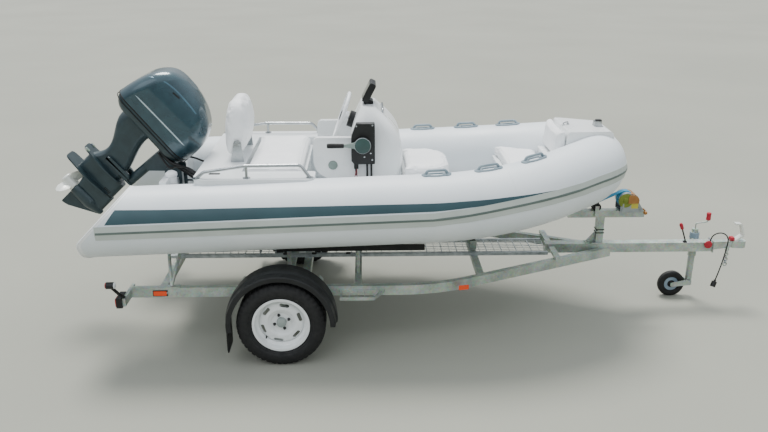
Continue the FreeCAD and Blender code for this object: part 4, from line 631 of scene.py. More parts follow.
def strake_line():
    """Dark bead along the strake's ridge, round the bow from stern to stern."""
    places = [("side", -1.105 + 0.103 * i) for i in range(21)]
    places += [("sweep", 1.5 * i) for i in range(20)]
    places += [("nose", 3.0 * i) for i in range(21)] + [("flat", -0.045), ("flat", 0.0)]
    ridge = []
    for part, at in places:
        height = between(RIDGE, part, at)[0]
        # the bead's width and dark colour carry painted shade of the groove
        ridge.append([on_collar(part, at, height + swing, TUBE_R + 0.0068 + lift)
                      for swing, lift in ((-2.5, -0.0050), (-1.7, 0.0010), (0.0, 0.0022),
                                          (1.7, 0.0010), (2.5, -0.0050), (0.0, -0.006))])
    piece("strake_line", BOAT, "strake_rubber", STRAKE_BEAD_AND_GROOVE_SHADE, twins(skin(ridge)))


def stern_end(high):
    """X of the tube's end at a height over its line: slanted, cut upright at its rounded low tip."""
    corner = (STERN_TIP_X - STERN_X) * STERN_SLANT
    turn = math.radians(90 - STERN_SLANT_DEG) / 2
    reach = STERN_TIP_ROUND * math.tan(turn)
    foot = -TUBE_R - 0.002 + STERN_TIP_ROUND
    for centre, low, top in ((corner - reach, corner - reach, corner + reach * math.cos(2 * turn)),
                             (foot, -TUBE_R, foot)):
        if low <= high <= top:
            return STERN_TIP_X + STERN_TIP_ROUND - math.sqrt(STERN_TIP_ROUND ** 2 - (high - centre) ** 2)
    return max(STERN_X + high / STERN_SLANT, STERN_TIP_X)


def stern_rims():
    """Band and bead round each tube's end, the band drawn whiter than the tube as a painted highlight."""
    bead = []
    band = []
    for k in range(120):
        angle = 360.0 * k / 120
        at = stern_end(TUBE_R * math.sin(math.radians(angle)))
        bead.append(on_collar("side", at + 0.004, angle, TUBE_R - 0.001))
        band.append([on_collar("side", at + ahead, angle, TUBE_R + lift)
                     for ahead, lift in ((0.002, -0.003), (0.002, 0.0012), (0.026, 0.0012),
                                         (0.028, -0.003))])
    shape = gather([pipe(bead, 0.0055, 8, True), skin(band, loop=True)])
    piece("stern_end_bands", BOAT, "collar_fabric", END_BAND_HIGHLIGHT, twins(shape))


def handle_feet():
    """Moulded oval foot under each grab handle, at degrees into the sweep."""
    feet = []
    for turn in (1.3, 12.4, 23.0):
        loop = []
        for angle in turns(36):
            ahead = math.degrees(0.092 * math.cos(angle) / SWEEP_R)
            aside = math.degrees(0.026 * math.sin(angle) / TUBE_R)
            loop.append(on_collar("sweep", turn + ahead, 90 + aside, TUBE_R + 0.004))
        feet.append(pipe(loop, 0.0065, 8, True))
    piece("handle_feet", BOAT, "black_plastic", GREY_PLASTIC, twins(gather(feet)))


def tube_seams():
    """Overlapped fabric seams over the tube."""
    rows = []
    for part, at in (("side", -0.62), ("side", 0.24), ("side", 0.90), ("sweep", 16.0)):
        scale = 1.0 if part == "side" else math.degrees(1 / SWEEP_R)
        rows.append(skin([[on_collar(part, at + shift * scale, k, TUBE_R + lift)
                           for shift, lift in ((-0.014, -0.001), (-0.0135, 0.0006), (0.0135, 0.0006),
                                               (0.014, -0.001))] for k in range(14, 170, 6)]))
    piece("tube_seams", BOAT, "collar_fabric", FABRIC, twins(gather(rows)))


tube_stripe()
strake_line()
stern_rims()
handle_feet()
tube_seams()


# Padded seats. Each pad starts a little smaller than its space and is blown up to fill it.
BACK_HALF_WIDTH = 0.215
BLOW_PRESSURE = 4.0
BLOW_FRAMES = 20
WELT_R = 0.0026
WELT_PROUD = 0.0006


def fit(points, low, high, flat):
    """Scales points into a box; flat keeps whatever sinks below the box on its floor."""
    least = [min(p[i] for p in points) for i in range(3)]
    most = [max(p[i] for p in points) for i in range(3)]
    for p in points:
        for i in range(3):
            if flat and i == 2:
                share = max(p[i] - (least[i] + flat), 0.0) / (most[i] - least[i] - flat)
            else:
                share = (p[i] - least[i]) / (most[i] - least[i])
            p[i] = low[i] + (high[i] - low[i]) * share
    return points


def stuffed(name, node, body, voxel, shrink, cap, flat):
    """Padded vinyl form grown inside its node's space, flat on its underside where it rests.

    It starts smaller by shrink on each side, and no point moves further than cap.
    """
    low, high = (Vector(corner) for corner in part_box(node))
    if node == "backrest":
        low.y, high.y = -BACK_HALF_WIDTH, BACK_HALF_WIDTH
    source = NODES[node]
    mesh = source.data.copy()
    mesh.transform(source.matrix_world)
    middle = (low + high) / 2
    for vertex in mesh.vertices:
        for i in range(3):
            reach = (high[i] - low[i]) / 2
            offset = min(max(vertex.co[i] - middle[i], -reach), reach)
            vertex.co[i] = middle[i] + offset * (reach - shrink) / reach
    mesh.materials.clear()
    mesh.materials.append(VINYL)
    made = bpy.data.objects.new(name, mesh)
    bpy.context.collection.objects.link(made)
    remesh = made.modifiers.new("remesh", "REMESH")
    remesh.mode = "VOXEL"
    remesh.voxel_size = voxel
    smooth = made.modifiers.new("smooth", "SMOOTH")
    smooth.iterations = 6
    solid = bpy.data.meshes.new_from_object(made.evaluated_get(bpy.context.evaluated_depsgraph_get()))
    made.modifiers.clear()
    made.data = solid
    start = [vertex.co.copy() for vertex in solid.vertices]
    cloth = made.modifiers.new("cloth", "CLOTH")
    cloth.settings.use_pressure = True
    cloth.settings.uniform_pressure_force = BLOW_PRESSURE
    cloth.settings.effector_weights.gravity = 0.0
    for number in range(1, BLOW_FRAMES + 1):
        bpy.context.scene.frame_set(number)
    grown = made.evaluated_get(bpy.context.evaluated_depsgraph_get())
    swollen = [vertex.co.copy() for vertex in grown.data.vertices]
    made.modifiers.clear()
    bpy.context.scene.frame_set(1)
    for i, (before, after) in enumerate(zip(start, swollen)):
        move = after - before
        if move.length > cap:
            move *= cap / move.length
        start[i] = before + move
    placed = fit([list(p) for p in start], low, high, flat)
    for vertex, at in zip(solid.vertices, placed):
        vertex.co = at
    solid.shade_smooth()
    fine = made.modifiers.new("fine", "SUBSURF")
    fine.levels = fine.render_levels = 1
    tree = BVHTree.FromPolygons([tuple(v.co) for v in solid.vertices],
                                [tuple(p.vertices) for p in solid.polygons])
    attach(made, body)
    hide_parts(node)
    return tree, low, high


def piping(name, body, tree, middle, level):
    """Thin welt sewn round a pad at a level, laid on the pad's own surface."""
    loop = []
    for angle in turns(220):
        away = Vector((math.cos(angle), math.sin(angle), 0))
        hit = tree.ray_cast(Vector((middle.x, middle.y, level)) + away, -away)[0]
        if hit is not None:
            loop.append(hit + Vector((MIDDLE_X, 0, 0)) + away * WELT_PROUD)
    piece(name, body, "cushion", PIPING, pipe(loop, WELT_R, 6, True))


def seats():
    """Three seat pads with their welts, and two back pads."""
    # name, node, body, voxel
    for name, node, body, voxel in (("aft_seat_pad", "aft_cushion", "aft_lid", 0.008),
                                    ("front_seat_pad", "front_cushion", "front_lid", 0.007),
                                    ("bow_seat_pad", "bow_cushion", "bow_lid", 0.007)):
        tree, low, high = stuffed(name, node, body, voxel, 0.010, 0.018, 0.006)
        # the welts' levels as shares of the height
        for number, share in enumerate((0.12, 0.80)):
            piping("%s_welt_%d" % (name, number + 1), body, tree, (low + high) / 2,
                   low.z + (high.z - low.z) * share)
    stuffed("helm_back_pad", "backrest", "backrest", 0.008, 0.008, 0.018, 0.0)
    stuffed("bow_back_pad", "bow_backrest", BOAT, 0.006, 0.006, 0.014, 0.0)
    pivots = [turned([(0, 0.017), (0.002, 0.019), (0.015, 0.019), (0.017, 0.016)],
                     (-0.310, y, 1.300), ACROSS, 20) for y in (-0.233, 0.216)]
    piece("backrest_pivots", "backrest", "stainless", STEEL, gather(pivots))


seats()


# Wheels: tyres with grooves and shoulder blocks, and the rims' bolts and caps
TYRE_R = 0.285
WHEEL_Y = 0.812
TREAD_GROOVES = (-0.046, -0.017, 0.017, 0.046)


def tyre(name, node, body, side):
    """Car tyre of 175 mm: four grooves round it and blocks along each shoulder."""
    half = [(-0.066, 0.171), (-0.067, 0.187), (-0.073, 0.1935), (-0.079, 0.200), (-0.079, 0.204),
            (-0.0845, 0.2085), (-0.0868, 0.217), (-0.0873, 0.228), (-0.0871, 0.240), (-0.0865, 0.2415),
            (-0.0852, 0.2510), (-0.0822, 0.2590), (-0.0786, 0.2655), (-0.0755, 0.2710),
            (-0.0712, 0.2770), (-0.0655, 0.2820), (-0.0580, 0.2843)]
    outline = list(half)
    for groove in TREAD_GROOVES:
        outline += [(groove - 0.0045, 0.2845), (groove - 0.0035, 0.2775), (groove + 0.0035, 0.2775),
                    (groove + 0.0045, 0.2845)]
    outline += [(-y, r) for y, r in reversed(half)]
    rows = []
    for step, angle in enumerate(turns(288)):
        row = []
        for y, r in outline:
            shoulder = abs(y) > 0.055 and r > 0.262
            cut = 0.005 if shoulder and step % 6 in (0, 1) else 0.0
            sipe = 0.003 if not shoulder and r > 0.280 and (step + (3 if y > 0 else 0)) % 6 == 0 else 0.0
            r -= max(cut, sipe)
            row.append((r * math.sin(angle), side * (WHEEL_Y + y), TYRE_R + r * math.cos(angle)))
        rows.append(row)
    piece(name, body, "tyre_rubber", TYRE, skin(rows, loop=True), [node])


def wheel_fittings(name, body, side):
    """Bolts, grease cap, pressed ring and valve of one wheel."""
    face = side * (WHEEL_Y + 0.016)
    out = (0, side, 0)
    bolts = []
    for k in range(4):
        angle = math.radians(20 + 90 * k)
        at = (0.049 * math.cos(angle), face, TYRE_R + 0.049 * math.sin(angle))
        bolts.append(turned([(-0.002, 0.0115), (0.002, 0.0112), (0.003, 0.0085), (0.012, 0.0082),
                             (0.015, 0.0060)], at, out, 6))
    # the bolts are drawn near-black: painted shade of their recessed seats
    piece(name + "_bolts", body, "rim_paint", ENGINE_PAINT_AND_BOLT_SHADE, gather(bolts))
    cap = turned([(0.0, 0.0315), (0.004, 0.0315), (0.006, 0.0306), (0.025, 0.0303), (0.029, 0.028),
                  (0.0315, 0.020), (0.0318, 0.0)], (0, face, TYRE_R), out, 28)
    piece(name + "_grease_cap", body, "rim_paint", CAP, cap)
    ring = turned([(0.0, 0.0790), (0.0022, 0.0780), (0.0022, 0.0745), (0.0, 0.0735)],
                  (0, side * (WHEEL_Y + 0.0255), TYRE_R), out, 48, True)
    piece(name + "_pressed_ring", body, "rim_paint", WHEEL_WHITE, ring)
    angle = math.radians(225)
    valve = (0.142 * math.cos(angle), side * (WHEEL_Y + 0.02), TYRE_R + 0.142 * math.sin(angle))
    piece(name + "_valve", body, "tyre_rubber", RUBBER,
          turned([(0, 0.006), (0.006, 0.005), (0.03, 0.004), (0.032, 0.002)], valve, out, 12))


for side_name, side in (("starboard", -1), ("port", 1)):
    tyre("tread_tyre_" + side_name, "tyre_" + side_name, "wheel_" + side_name, side)
    wheel_fittings("wheel_" + side_name, "wheel_" + side_name, side)


# Outboard motor. Places are in the motor's own upright frame about its tilt tube.
TILT = math.radians(51.2)
TILT_X = -0.800
TILT_Z = 1.070


def tipped(x, y, z):
    """A place on the upright motor, tipped up as it stands."""
    return (TILT_X + x * math.cos(TILT) + z * math.sin(TILT), y,
            TILT_Z - x * math.sin(TILT) + z * math.cos(TILT))


def tip(shape):
    """A skin tipped up with the motor."""
    points, faces = shape
    return [tipped(*p) for p in points], faces


# z, rear x, front x, half width, rear corner, front corner of the cowl
COWL_RINGS = ((0.138, -0.622, 0.006, 0.172, 0.080, 0.120), (0.225, -0.614, 0.008, 0.178, 0.080, 0.125),
              (0.300, -0.600, -0.004, 0.176, 0.080, 0.125), (0.370, -0.579, -0.037, 0.164, 0.078, 0.115),
              (0.444, -0.535, -0.115, 0.140, 0.075, 0.100), (0.489, -0.483, -0.222, 0.104, 0.060, 0.080),
              (0.511, -0.400, -0.300, 0.045, 0.030, 0.040))


def on_cowl(x, z, out):
    """Point on the starboard side of the cowl, at x and z, a little outside it."""
    low, high = next((a, b) for a, b in zip(COWL_RINGS, COWL_RINGS[1:])
                     if z <= b[0] or b is COWL_RINGS[-1])
    t = (z - low[0]) / (high[0] - low[0])
    rear, front, half, rear_round, front_round = (a + (b - a) * t for a, b in zip(low[1:], high[1:]))
    drop = 0.0
    for past, radius in ((rear + rear_round - x, rear_round), (x - front + front_round, front_round)):
        if past > 0:
            drop = radius - math.sqrt(max(radius ** 2 - past ** 2, 0.0))
    return (x, -(half - drop + out), z)


def cowl_strip(line, wide, out):
    """Band on both sides of the cowl along a line of (x, z)."""
    deep = 0.004
    route = curve([(x, 0, z) for x, z in line], max(2, 40 // (len(line) - 1)))
    rows = []
    for k, at in enumerate(route):
        taper = min(1.0, 4.0 * min(k + 0.4, len(route) - 1 - k + 0.4) / len(route) * 2)
        low, high = at.z - wide * taper / 2, at.z + wide * taper / 2
        rows.append([on_cowl(at.x, z, lift)
                     for z, lift in ((low, -deep), (low, out * 0.4), (low + 0.001, out),
                                     (high - 0.001, out), (high, out * 0.4), (high, -deep))])
    return tip(twins(skin(rows)))


def motor_trim():
    """Seam, silver line, side vent and painted recess shade of the cowl, the leg's cover and the anode."""
    ring = rounded([(-0.621, -0.1715, 0.080), (0.0055, -0.1715, 0.119), (0.0055, 0.1715, 0.119),
                    (-0.621, 0.1715, 0.080)], 8)
    seam = gather([pipe([(p.x, p.y, 0.134) for p in ring], 0.0045, 8, True),
                   pipe([(p.x, p.y, 0.112) for p in ring], 0.0030, 8, True)])
    piece("cowl_seam", "motor", "motor_paint", RUBBER, tip(seam))
    # name, slot, finish, width, how far it stands out, line of (x, z)
    strips = (("cowl_silver_line", "stainless", SILVER, 0.009, 0.0016,
               [(-0.533, 0.217), (-0.380, 0.2215), (-0.230, 0.2250), (-0.083, 0.227)]),
              # lighter strip along the crease: painted highlight
              ("cowl_crease_highlight", "motor_paint", CREASE_HIGHLIGHT, 0.010, 0.0022,
               [(-0.585, 0.340), (-0.520, 0.400), (-0.440, 0.428), (-0.330, 0.436), (-0.200, 0.430),
                (-0.125, 0.418)]),
              ("cowl_side_vents", "motor_paint", RUBBER, 0.012, 0.0024,
               [(-0.394, 0.412), (-0.364, 0.415), (-0.334, 0.418)]),
              # dark strips standing proud where the cowl has recesses: painted shade
              ("cowl_recess_shade", "motor_paint", CASTING_AND_RECESS_SHADE, 0.028, 0.0014,
               [(-0.112, 0.294), (-0.080, 0.291), (-0.045, 0.288), (-0.018, 0.286)]))
    for name, slot, finish, wide, out, line in strips:
        piece(name, "motor", slot, finish, cowl_strip(line, wide, out))
    cover = twins(slab([(-0.362, -0.262, 0.03), (-0.150, -0.256, 0.03), (-0.146, -0.302, 0.02),
                        (-0.356, -0.306, 0.03)], "xz", -0.064, -0.036, 0.003))
    piece("leg_covers", "motor", "motor_casting", CASTING_AND_RECESS_SHADE, tip(cover))
    anode = twins(plate(-0.494, -0.459, -0.338, -0.354, 0.004, "xz", -0.066, -0.050, 0.002))
    piece("anodes", "motor", "stainless", ZINC, tip(anode))
    intake = [twins(plate(x, x + 0.005, -0.452, -0.474, 0.002, "xz", -0.0425, -0.036, 0.0008))
              for x in (-0.208, -0.197, -0.186, -0.175, -0.164)]
    piece("water_intakes", "motor", "motor_casting", RUBBER, tip(gather(intake)))


def rigging_hoses():
    """Control cables and fuel hose from the well up into the motor's front."""
    # radius, then the points from under the motor's pan to the stern deck
    routes = ((0.012, (-0.858, -0.112, 1.222), (-0.790, -0.128, 1.150), (-0.700, -0.160, 1.122),
               (-0.600, -0.190, 1.070), (-0.500, -0.215, 1.035)),
              (0.010, (-0.845, -0.098, 1.214), (-0.770, -0.118, 1.132), (-0.680, -0.130, 1.070),
               (-0.580, -0.150, 1.000), (-0.500, -0.170, 0.940)),
              (0.007, (-0.870, -0.120, 1.216), (-0.800, -0.140, 1.118), (-0.740, -0.170, 1.130),
               (-0.640, -0.250, 1.140), (-0.500, -0.300, 1.060)),
              (0.007, (-0.858, 0.112, 1.222), (-0.780, 0.130, 1.140), (-0.680, 0.180, 1.090),
               (-0.600, 0.220, 1.040), (-0.500, 0.240, 1.000)))
    hoses = [pipe(curve(points, 10), radius) for radius, *points in routes]
    made = piece("rigging_hoses", None, "cable_sheath", SHEATH, gather(hoses))
    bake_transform(made)


motor_trim()
rigging_hoses()


# Helm: control box, wheel hub, instrument, hatch
def helm_trim():
    """Face, rim, arm and grip of the control lever, and the control box's screws and plug."""
    front = -0.334
    boss = (0.527, front - 0.0312, 1.318)
    out = (0, -1, 0)
    face = turned([(-0.008, 0.0528), (0.0, 0.0528), (0.0015, 0.0515), (0.0022, 0.046), (0.0022, 0.0)],
                  boss, out, 40)
    piece("lever_boss_face", BOAT, "black_plastic", DARK_GREEN, face)
    piece("lever_boss_rim", BOAT, "stainless", STEEL,
          hoop(boss[0], boss[1] - 0.0006, boss[2], 0.0525, 0.0018, 8, 48))
    arm = slab([(0.402, 1.308, 0.003), (0.470, 1.2985, 0.01), (0.500, 1.2800), (0.500, 1.3560),
                (0.470, 1.3375, 0.01), (0.402, 1.3262, 0.003)], "xz", front - 0.0308, front - 0.0155, 0.001)
    piece("lever_arm", BOAT, "console_fitting", GREY_GREEN, arm)
    grip = turned([(0, 0.011), (0.004, 0.0155), (0.030, 0.0165), (0.085, 0.0152), (0.104, 0.0150),
                   (0.112, 0.010)], (0.293, front - 0.023, 1.3168), (1, 0, 0), 20)
    piece("lever_grip", BOAT, "black_plastic", RUBBER, grip)
    screws = [turned([(-0.001, 0.006), (0.002, 0.0055), (0.003, 0.003)], (x, front, z), out, 12)
              for x, z in ((0.487, 1.443), (0.592, 1.448), (0.580, 1.260), (0.538, 1.235), (0.590, 1.215))]
    piece("box_screws", BOAT, "stainless", STEEL, gather(screws))
    plug = plate(0.468, 0.498, 1.150, 1.196, 0.003, "xz", front + 0.008, front + 0.042, 0.002)
    piece("wiring_plug", BOAT, "black_plastic", RUBBER, plug)


def helm_face():
    """Steering hub cover, screen and bezel, hatch disc, the red wires and cable loops."""
    line = Vector((0.939, 0, -0.344)).normalized()
    centre = Vector((0.385, 0, 1.440))
    hub = turned([(-0.014, 0.0), (-0.013, 0.026), (-0.006, 0.038), (0.000, 0.0425), (0.010, 0.0435),
                  (0.012, 0.041)], centre, line, 32)
    piece("steering_hub_cover", "steering_wheel", "black_plastic", BLACK, hub)
    face = Vector((0.522, 0, 1.560))
    slope = (Vector((0.562, 0, 1.542)) - face).normalized()
    up = Vector((0.062, 0, 0.122)).normalized()
    rows = []
    for high in (0.012, 0.014, 0.122, 0.124):
        lift = 0.0018 if 0.013 < high < 0.123 else 0.0
        rows.append([face + up * high - slope * lift + ACROSS * y
                     for y in (-0.082, -0.080, 0.080, 0.082)])
    piece("instrument_screen", BOAT, "black_plastic", SCREEN, skin(rows, ring=False))
    disc = turned([(-0.0005, 0.0305), (0.0015, 0.0300), (0.0025, 0.027), (0.0025, 0.0)],
                  (0.327, -0.284, 1.165), (0, -1, 0), 32)
    piece("lobe_hatch_disc", BOAT, "console_fitting", GREY_GREEN, disc)
    # name, finish, radius, sides, routes
    runs = (
        ("helm_red_wires", RED_WIRE, 0.0022, 6,
         [(0.480, -0.306, 1.150), (0.476, -0.308, 1.110), (0.470, -0.302, 1.060), (0.476, -0.292, 1.010)],
         [(0.486, -0.308, 1.150), (0.488, -0.312, 1.100), (0.482, -0.304, 1.050), (0.488, -0.290, 1.000)]),
        ("control_cable_runs", SHEATH, 0.0065, 8,
         [(0.556, -0.304, 1.088), (0.556, -0.304, 1.000), (0.545, -0.298, 0.920), (0.520, -0.292, 0.850)],
         [(0.584, -0.304, 1.088), (0.586, -0.304, 1.010), (0.580, -0.298, 0.930), (0.556, -0.292, 0.850)]))
    for name, finish, radius, sides, *routes in runs:
        piece(name, BOAT, "cable_sheath", finish,
              gather([pipe(curve(route), radius, sides) for route in routes]))


helm_trim()
helm_face()


# Small fittings on the stern deck and the bow step
def deck_fittings():
    """Vent on the stern deck, fuel filter, bow light and the cleat's feet."""
    vents = [block(x, x + 0.013, -0.512, -0.492, 1.1745, 1.1790, 0.0015)
             for x in (-0.452, -0.436, -0.420, -0.404)]
    vents.append(plate(-0.458, -0.386, -0.518, -0.486, 0.006, "xy", 1.1755, 1.1775, 0.0008))
    piece("deck_vents", BOAT, "black_plastic", BLACK, gather(vents))
    filter_bowl = turned([(0.0, 0.030), (0.006, 0.034), (0.060, 0.034), (0.066, 0.040), (0.084, 0.040),
                          (0.092, 0.030), (0.100, 0.018)], (-0.745, -0.300, 1.040), (-0.06, 0, 1), 28)
    piece("fuel_filter", BOAT, "wheel_white", WHITE_PLASTIC, filter_bowl)
    piece("fuel_filter_bracket", BOAT, "black_plastic", BLACK,
          block(-0.790, -0.720, -0.322, -0.278, 1.030, 1.045, 0.003))
    top = 1.354
    cover = plate(2.152, 2.196, -0.020, 0.020, 0.012, "xy", top + 0.030, top + 0.048, 0.003)
    piece("bow_light_cover", BOAT, "black_plastic", BLACK, cover)
    foot = plate(2.142, 2.206, -0.030, 0.030, 0.010, "xy", top - 0.001, top + 0.005, 0.002)
    piece("bow_light_foot", BOAT, "stainless", STEEL, foot)
    feet = [turned([(0, 0.011), (0.003, 0.011), (0.005, 0.007)], (x, y, 1.3675), (0, 0, 1), 16)
            for x, y in ((1.925, -0.016), (1.965, 0.016))]
    piece("cleat_feet", BOAT, "stainless", STEEL, gather(feet))


deck_fittings()


# Lenses and reflectors; the starboard ones are drawn and mirrored
def lamp_lenses():
    """Tail lamps, side reflectors and the marker lamps' two lenses."""
    red = plate(-0.795, -0.695, 0.382, 0.438, 0.008, "yz", -1.0555, -1.0440, 0.003)
    piece("tail_lenses", BOAT, "lamp_plastic", RED_LENS, twins(red))
    amber = plate(-0.845, -0.759, 0.396, 0.428, 0.006, "xz", -0.6640, -0.6600, 0.0012)
    # the front ones lie along the beams' tapering part
    points, faces = plate(-0.035, 0.035, 0.398, 0.430, 0.006, "xz", -0.0035, 0.0035, 0.0012)
    turn = math.radians(13)
    front = ([(1.190 + x * math.cos(turn) - y * math.sin(turn),
               -0.6197 + x * math.sin(turn) + y * math.cos(turn), z) for x, y, z in points], faces)
    piece("side_reflectors", BOAT, "lamp_plastic", AMBER, gather([twins(amber), twins(front)]))
    for name, centre, reach, finish in (("marker_lenses_front", (-1.030, -0.842, 0.556), 1, CLEAR_LENS),
                                        ("marker_lenses_rear", (-1.078, -0.842, 0.556), -1, RED_LENS)):
        dome = turned([(-0.002, 0.0205), (0.002, 0.0205), (0.006, 0.018), (0.0085, 0.010), (0.009, 0.0)],
                      centre, (reach, 0, 0), 24)
        piece(name, BOAT, "lamp_plastic", finish, twins(dome))


lamp_lenses()


# Walkway mesh, wires both ways between the welded bars
def walkway_wires():
    """Fine wires, three between each two bars along and one between each two across."""
    rear, front, half_width = -0.868, 1.853, 0.128
    low, high, half = 0.4545, 0.4575, 0.0015
    wires = [block(rear, front, y - half, y + half, low, high, 0.0006)
             for y in (-0.0968, -0.0645, -0.0323, 0.0323, 0.0645, 0.0968)]
    x = rear + 0.0545
    while x < front:
        wires.append(block(x - half, x + half, -half_width, half_width, low + 0.0005, high + 0.001, 0.0006))
        x += 0.1090
    piece("walkway_wires", BOAT, "galvanised", WIRE, gather(wires))


walkway_wires()


# Winch: strap coil, gear disc, guard, crank, blank label and hook
def winch_trim():
    """The winch's turning parts, guard and label, and the strap's hook."""
    drum = (2.422, 0.0, 0.820)
    coil = turned([(-0.026, 0.0), (-0.026, 0.0575), (-0.024, 0.0600), (0.024, 0.0600), (0.026, 0.0575),
                   (0.026, 0.0)], drum, ACROSS, 48)
    piece("winch_strap_coil", BOAT, "webbing", WEBBING, coil)
    gear = turned([(0.0, 0.0), (0.0, 0.0500), (0.001, 0.0515), (0.003, 0.0515), (0.004, 0.044),
                   (0.004, 0.020), (0.008, 0.016), (0.008, 0.0)], (2.408, -0.0625, 0.822), (0, -1, 0), 40)
    piece("winch_gear_disc", BOAT, "winch_paint", DRUM_GREEN, gear)
    rows = []
    for y, out in ((-0.056, 0.0), (-0.056, 0.003), (0.056, 0.003), (0.056, 0.0)):
        rows.append([(2.447 + (0.062 + out) * math.cos(a), y, 0.805 + (0.062 + out) * math.sin(a))
                     for a in (math.radians(8 + 6.5 * k) for k in range(17))])
    cheek = slab([(2.426, 0.800, 0.004), (2.426, 0.856, 0.020), (2.452, 0.869, 0.030),
                  (2.494, 0.848, 0.030), (2.508, 0.802, 0.008)], "xz", -0.0700, -0.0670, 0.0008)
    piece("winch_guard", BOAT, "winch_paint", WINCH_GUARD,
          gather([skin(rows, ring=False, loop=True), cheek]))
    label = plate(2.452, 2.502, 0.762, 0.800, 0.003, "xz", -0.0632, -0.0618, 0.0003)
    piece("winch_label", BOAT, "winch_paint", LABEL, label)
    crank = pipe(curve([(2.538, -0.058, 0.760), (2.552, -0.060, 0.748), (2.566, -0.060, 0.730)], 6),
                 0.006)
    knob = turned([(0, 0.010), (0.004, 0.013), (0.020, 0.013), (0.026, 0.008)], (2.560, -0.0735, 0.728),
                  ACROSS, 20)
    piece("winch_crank", BOAT, "winch_paint", WINCH_GUARD, gather([crank, knob]))
    pawl = slab([(2.386, 0.742, 0.004), (2.402, 0.742, 0.004), (2.398, 0.800, 0.004),
                 (2.388, 0.800, 0.004)], "xz", -0.067, -0.0625, 0.001)
    bolts = [turned([(0, 0.007), (0.005, 0.007), (0.006, 0.004)], (x, -0.062, z), (0, -1, 0), 6)
             for x, z in ((2.512, 0.772), (2.388, 0.745), (2.522, 0.748))]
    piece("winch_pawl_and_bolts", BOAT, "galvanised", WINCH_PAINT, gather([pawl] + bolts))
    hook = pipe(curve([(2.232, -0.006, 0.790), (2.222, -0.004, 0.776), (2.214, 0.0, 0.770),
                       (2.207, 0.004, 0.778), (2.212, 0.004, 0.790)], 6), 0.0042, 8)
    piece("strap_hook", BOAT, "galvanised", RUBBER, hook)


winch_trim()


# Bolts, clamps and grips along the trailer
def trailer_fittings():
    """Bunk clamps, bolts, the post's U-bolts, the jockey wheel's clamp lever and the red grips."""
    clamps = [block(x, x + 0.034, y, y + 0.030, 0.4625, 0.4700, 0.003)
              for x, y in ((-0.050, -0.146), (0.155, -0.146), (0.400, -0.146), (-0.050, 0.116),
                           (0.155, 0.116), (0.400, 0.116))]
    piece("bunk_clamps", BOAT, "black_steel", BLACK, gather(clamps))
    small = [(0, 0.007), (0.005, 0.0068), (0.006, 0.004)]
    large = [(0, 0.0085), (0.006, 0.008), (0.007, 0.005)]
    out = (0, -1, 0)
    bolts = [twins(turned(small, (x, -0.420, z), out, 6))
             for x in (0.020, 0.490) for z in (0.490, 0.530, 0.570)]
    bolts += [twins(turned(large, (x, -0.655, 0.415), out, 6))
              for x in (-0.76, -0.70, 0.075, 0.165, 0.450, 0.530)]
    bolts += [turned(large, (x, -0.035, 0.447), out, 6)
              for x in (1.915, 1.995, 2.215, 2.295, 2.965, 3.055)]
    piece("frame_bolts", BOAT, "galvanised", ZINC, gather(bolts))
    band = [plate(2.224, 2.286, -0.031, 0.031, 0.003, "xy", z, z + 0.006, 0.001) for z in (0.560, 0.585)]
    bow_nuts = pipe([(2.224, -0.031, 0.590), (2.224, -0.050, 0.590)], 0.005)
    piece("post_u_bolts", BOAT, "black_steel", BLACK, gather(band + [bow_nuts]))
    lever = pipe([(2.896, -0.020, 0.478), (2.894, -0.024, 0.500), (2.860, -0.028, 0.590)], 0.0055)
    piece("drawbar_clamp_lever", BOAT, "black_steel", BLACK,
          gather([lever, block(2.882, 2.908, -0.032, -0.010, 0.478, 0.492, 0.003)]))
    grip = turned([(0, 0.008), (0.006, 0.012), (0.040, 0.0130), (0.050, 0.008)], (2.862, -0.028, 0.586),
                  (-0.4, 0, 1), 18)
    tab = block(3.236, 3.268, -0.020, 0.020, 0.486, 0.512, 0.004)
    disc = turned([(0, 0.0), (0, 0.027), (0.003, 0.029), (0.009, 0.029), (0.013, 0.022), (0.014, 0.0)],
                  (3.064, -0.0352, 0.468), out, 28)
    piece("red_grips", BOAT, "lamp_plastic", RED_GRIP, gather([grip, tab, disc]))
    piece("jockey_sleeve_cap", BOAT, "black_plastic", SLEEVE,
          turned([(0.470, 0.0305), (0.470, 0.0330), (0.4715, 0.0345), (0.5185, 0.0345),
                  (0.520, 0.0330), (0.520, 0.0305)], (3.010, 0.090, 0), UP, 32, True))


trailer_fittings()


# Jockey wheel: where its hub and the top of its crank are
JOCKEY_X = 2.878
JOCKEY_Z = 0.100
CRANK_TOP = 0.612


def jockey_trim():
    """Ribs on the jockey tyre, its rim's faces and the crank's knob."""
    ribs = [hoop(JOCKEY_X, y, JOCKEY_Z, 0.0981, 0.0018, 6, 60) for y in (0.078, 0.090, 0.102)]
    piece("jockey_tyre_ribs", "jockey_wheel", "tyre_rubber", RUBBER, gather(ribs))
    faces = [turned([(0, 0.0), (0, 0.0525), (0.0015, 0.0535), (0.0015, 0.0)],
                    (JOCKEY_X, y, JOCKEY_Z), (0, out, 0), 36) for y, out in ((0.0795, -1), (0.1005, 1))]
    piece("jockey_rim_faces", "jockey_wheel", "wheel_white", SLEEVE, gather(faces))
    knob = turned([(0, 0.0125), (0.003, 0.0165), (0.012, 0.0175), (0.024, 0.0158), (0.042, 0.0162),
                   (0.053, 0.0178), (0.058, 0.0140)], (3.098, 0.090, CRANK_TOP), UP, 24)
    piece("jockey_crank_knob", "jockey_leg", "lamp_plastic", RED_GRIP, knob)


jockey_trim()


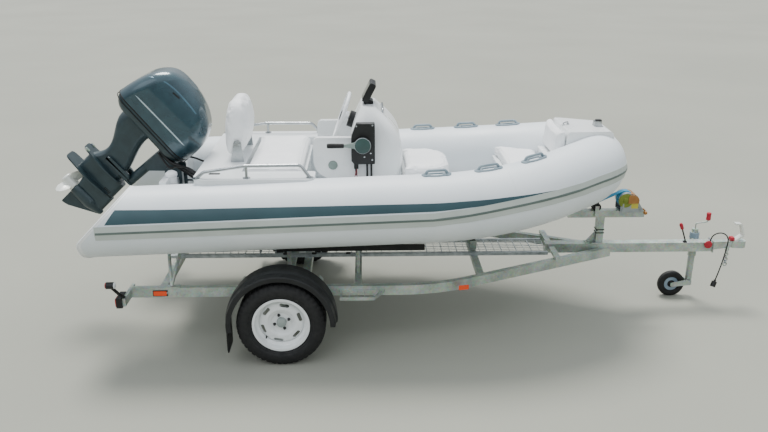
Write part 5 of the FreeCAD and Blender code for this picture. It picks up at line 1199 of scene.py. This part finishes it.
# Floor, light and camera
def studio():
    """Pale floor, a sky that is brightest overhead, and two soft suns."""
    floor_mesh = bpy.data.meshes.new("floor")
    reach = 80.0
    floor_mesh.from_pydata([(-reach, -reach, 0), (reach, -reach, 0), (reach, reach, 0), (-reach, reach, 0)],
                           [], [(0, 1, 2, 3)])
    floor = bpy.data.objects.new("floor", floor_mesh)
    bpy.context.collection.objects.link(floor)
    made, tree, shader, place = material("pale_studio_floor", Roughness=0.8)
    wire(tree, shader, Base_Color=mottle(tree, place, 3.0, "#8F9086", "#95968B"))
    floor_mesh.materials.append(made)
    world = bpy.data.worlds.new("studio")
    bpy.context.scene.world = world
    world.use_nodes = True
    sky = world.node_tree
    # bright overhead, dimmer towards the ground, as under a large soft box
    heading = add(sky, "ShaderNodeTexCoord").outputs["Generated"]
    height = add(sky, "ShaderNodeSeparateXYZ", {"Vector": heading}).outputs["Z"]
    ramp = add(sky, "ShaderNodeValToRGB", {"Fac": height})
    for stop, position, colour in zip(ramp.color_ramp.elements, (0.0, 0.65), ("#767D7C", "#F4F9FF")):
        stop.position = position
        stop.color = srgb(colour)
    background = sky.nodes["Background"]
    sky.links.new(ramp.outputs["Color"], background.inputs["Color"])
    background.inputs["Strength"].default_value = 1.45
    # name, place, softness in degrees, strength, colour
    for name, place, soft, power, colour in (("key", (-0.8, 3.2, 8.0), 22.0, 3.9, "#FFFDF8"),
                                             ("front", (-4.0, -6.0, 7.0), 40.0, 0.35, "#F4F8FF")):
        lamp = bpy.data.lights.new(name, "SUN")
        lamp.angle = math.radians(soft)
        lamp.energy = power
        lamp.color = srgb(colour)[:3]
        light = bpy.data.objects.new(name, lamp)
        bpy.context.collection.objects.link(light)
        light.location = place
        light.rotation_euler = (Vector((0, 0, 0.8)) - light.location).to_track_quat("-Z", "Y").to_euler()


def camera():
    """The photograph's viewing angle."""
    lens_data = bpy.data.cameras.new("camera")
    lens_data.sensor_width = 36.0
    lens_data.lens = 36.5
    view = bpy.data.objects.new("camera", lens_data)
    bpy.context.collection.objects.link(view)
    look_down, look_aside = 19.87, -1.41
    view.location = spot(0.545, -5.304, 2.616)
    view.rotation_euler = (math.radians(90 - look_down), 0.0, math.radians(look_aside))
    bpy.context.scene.camera = view


studio()
camera()
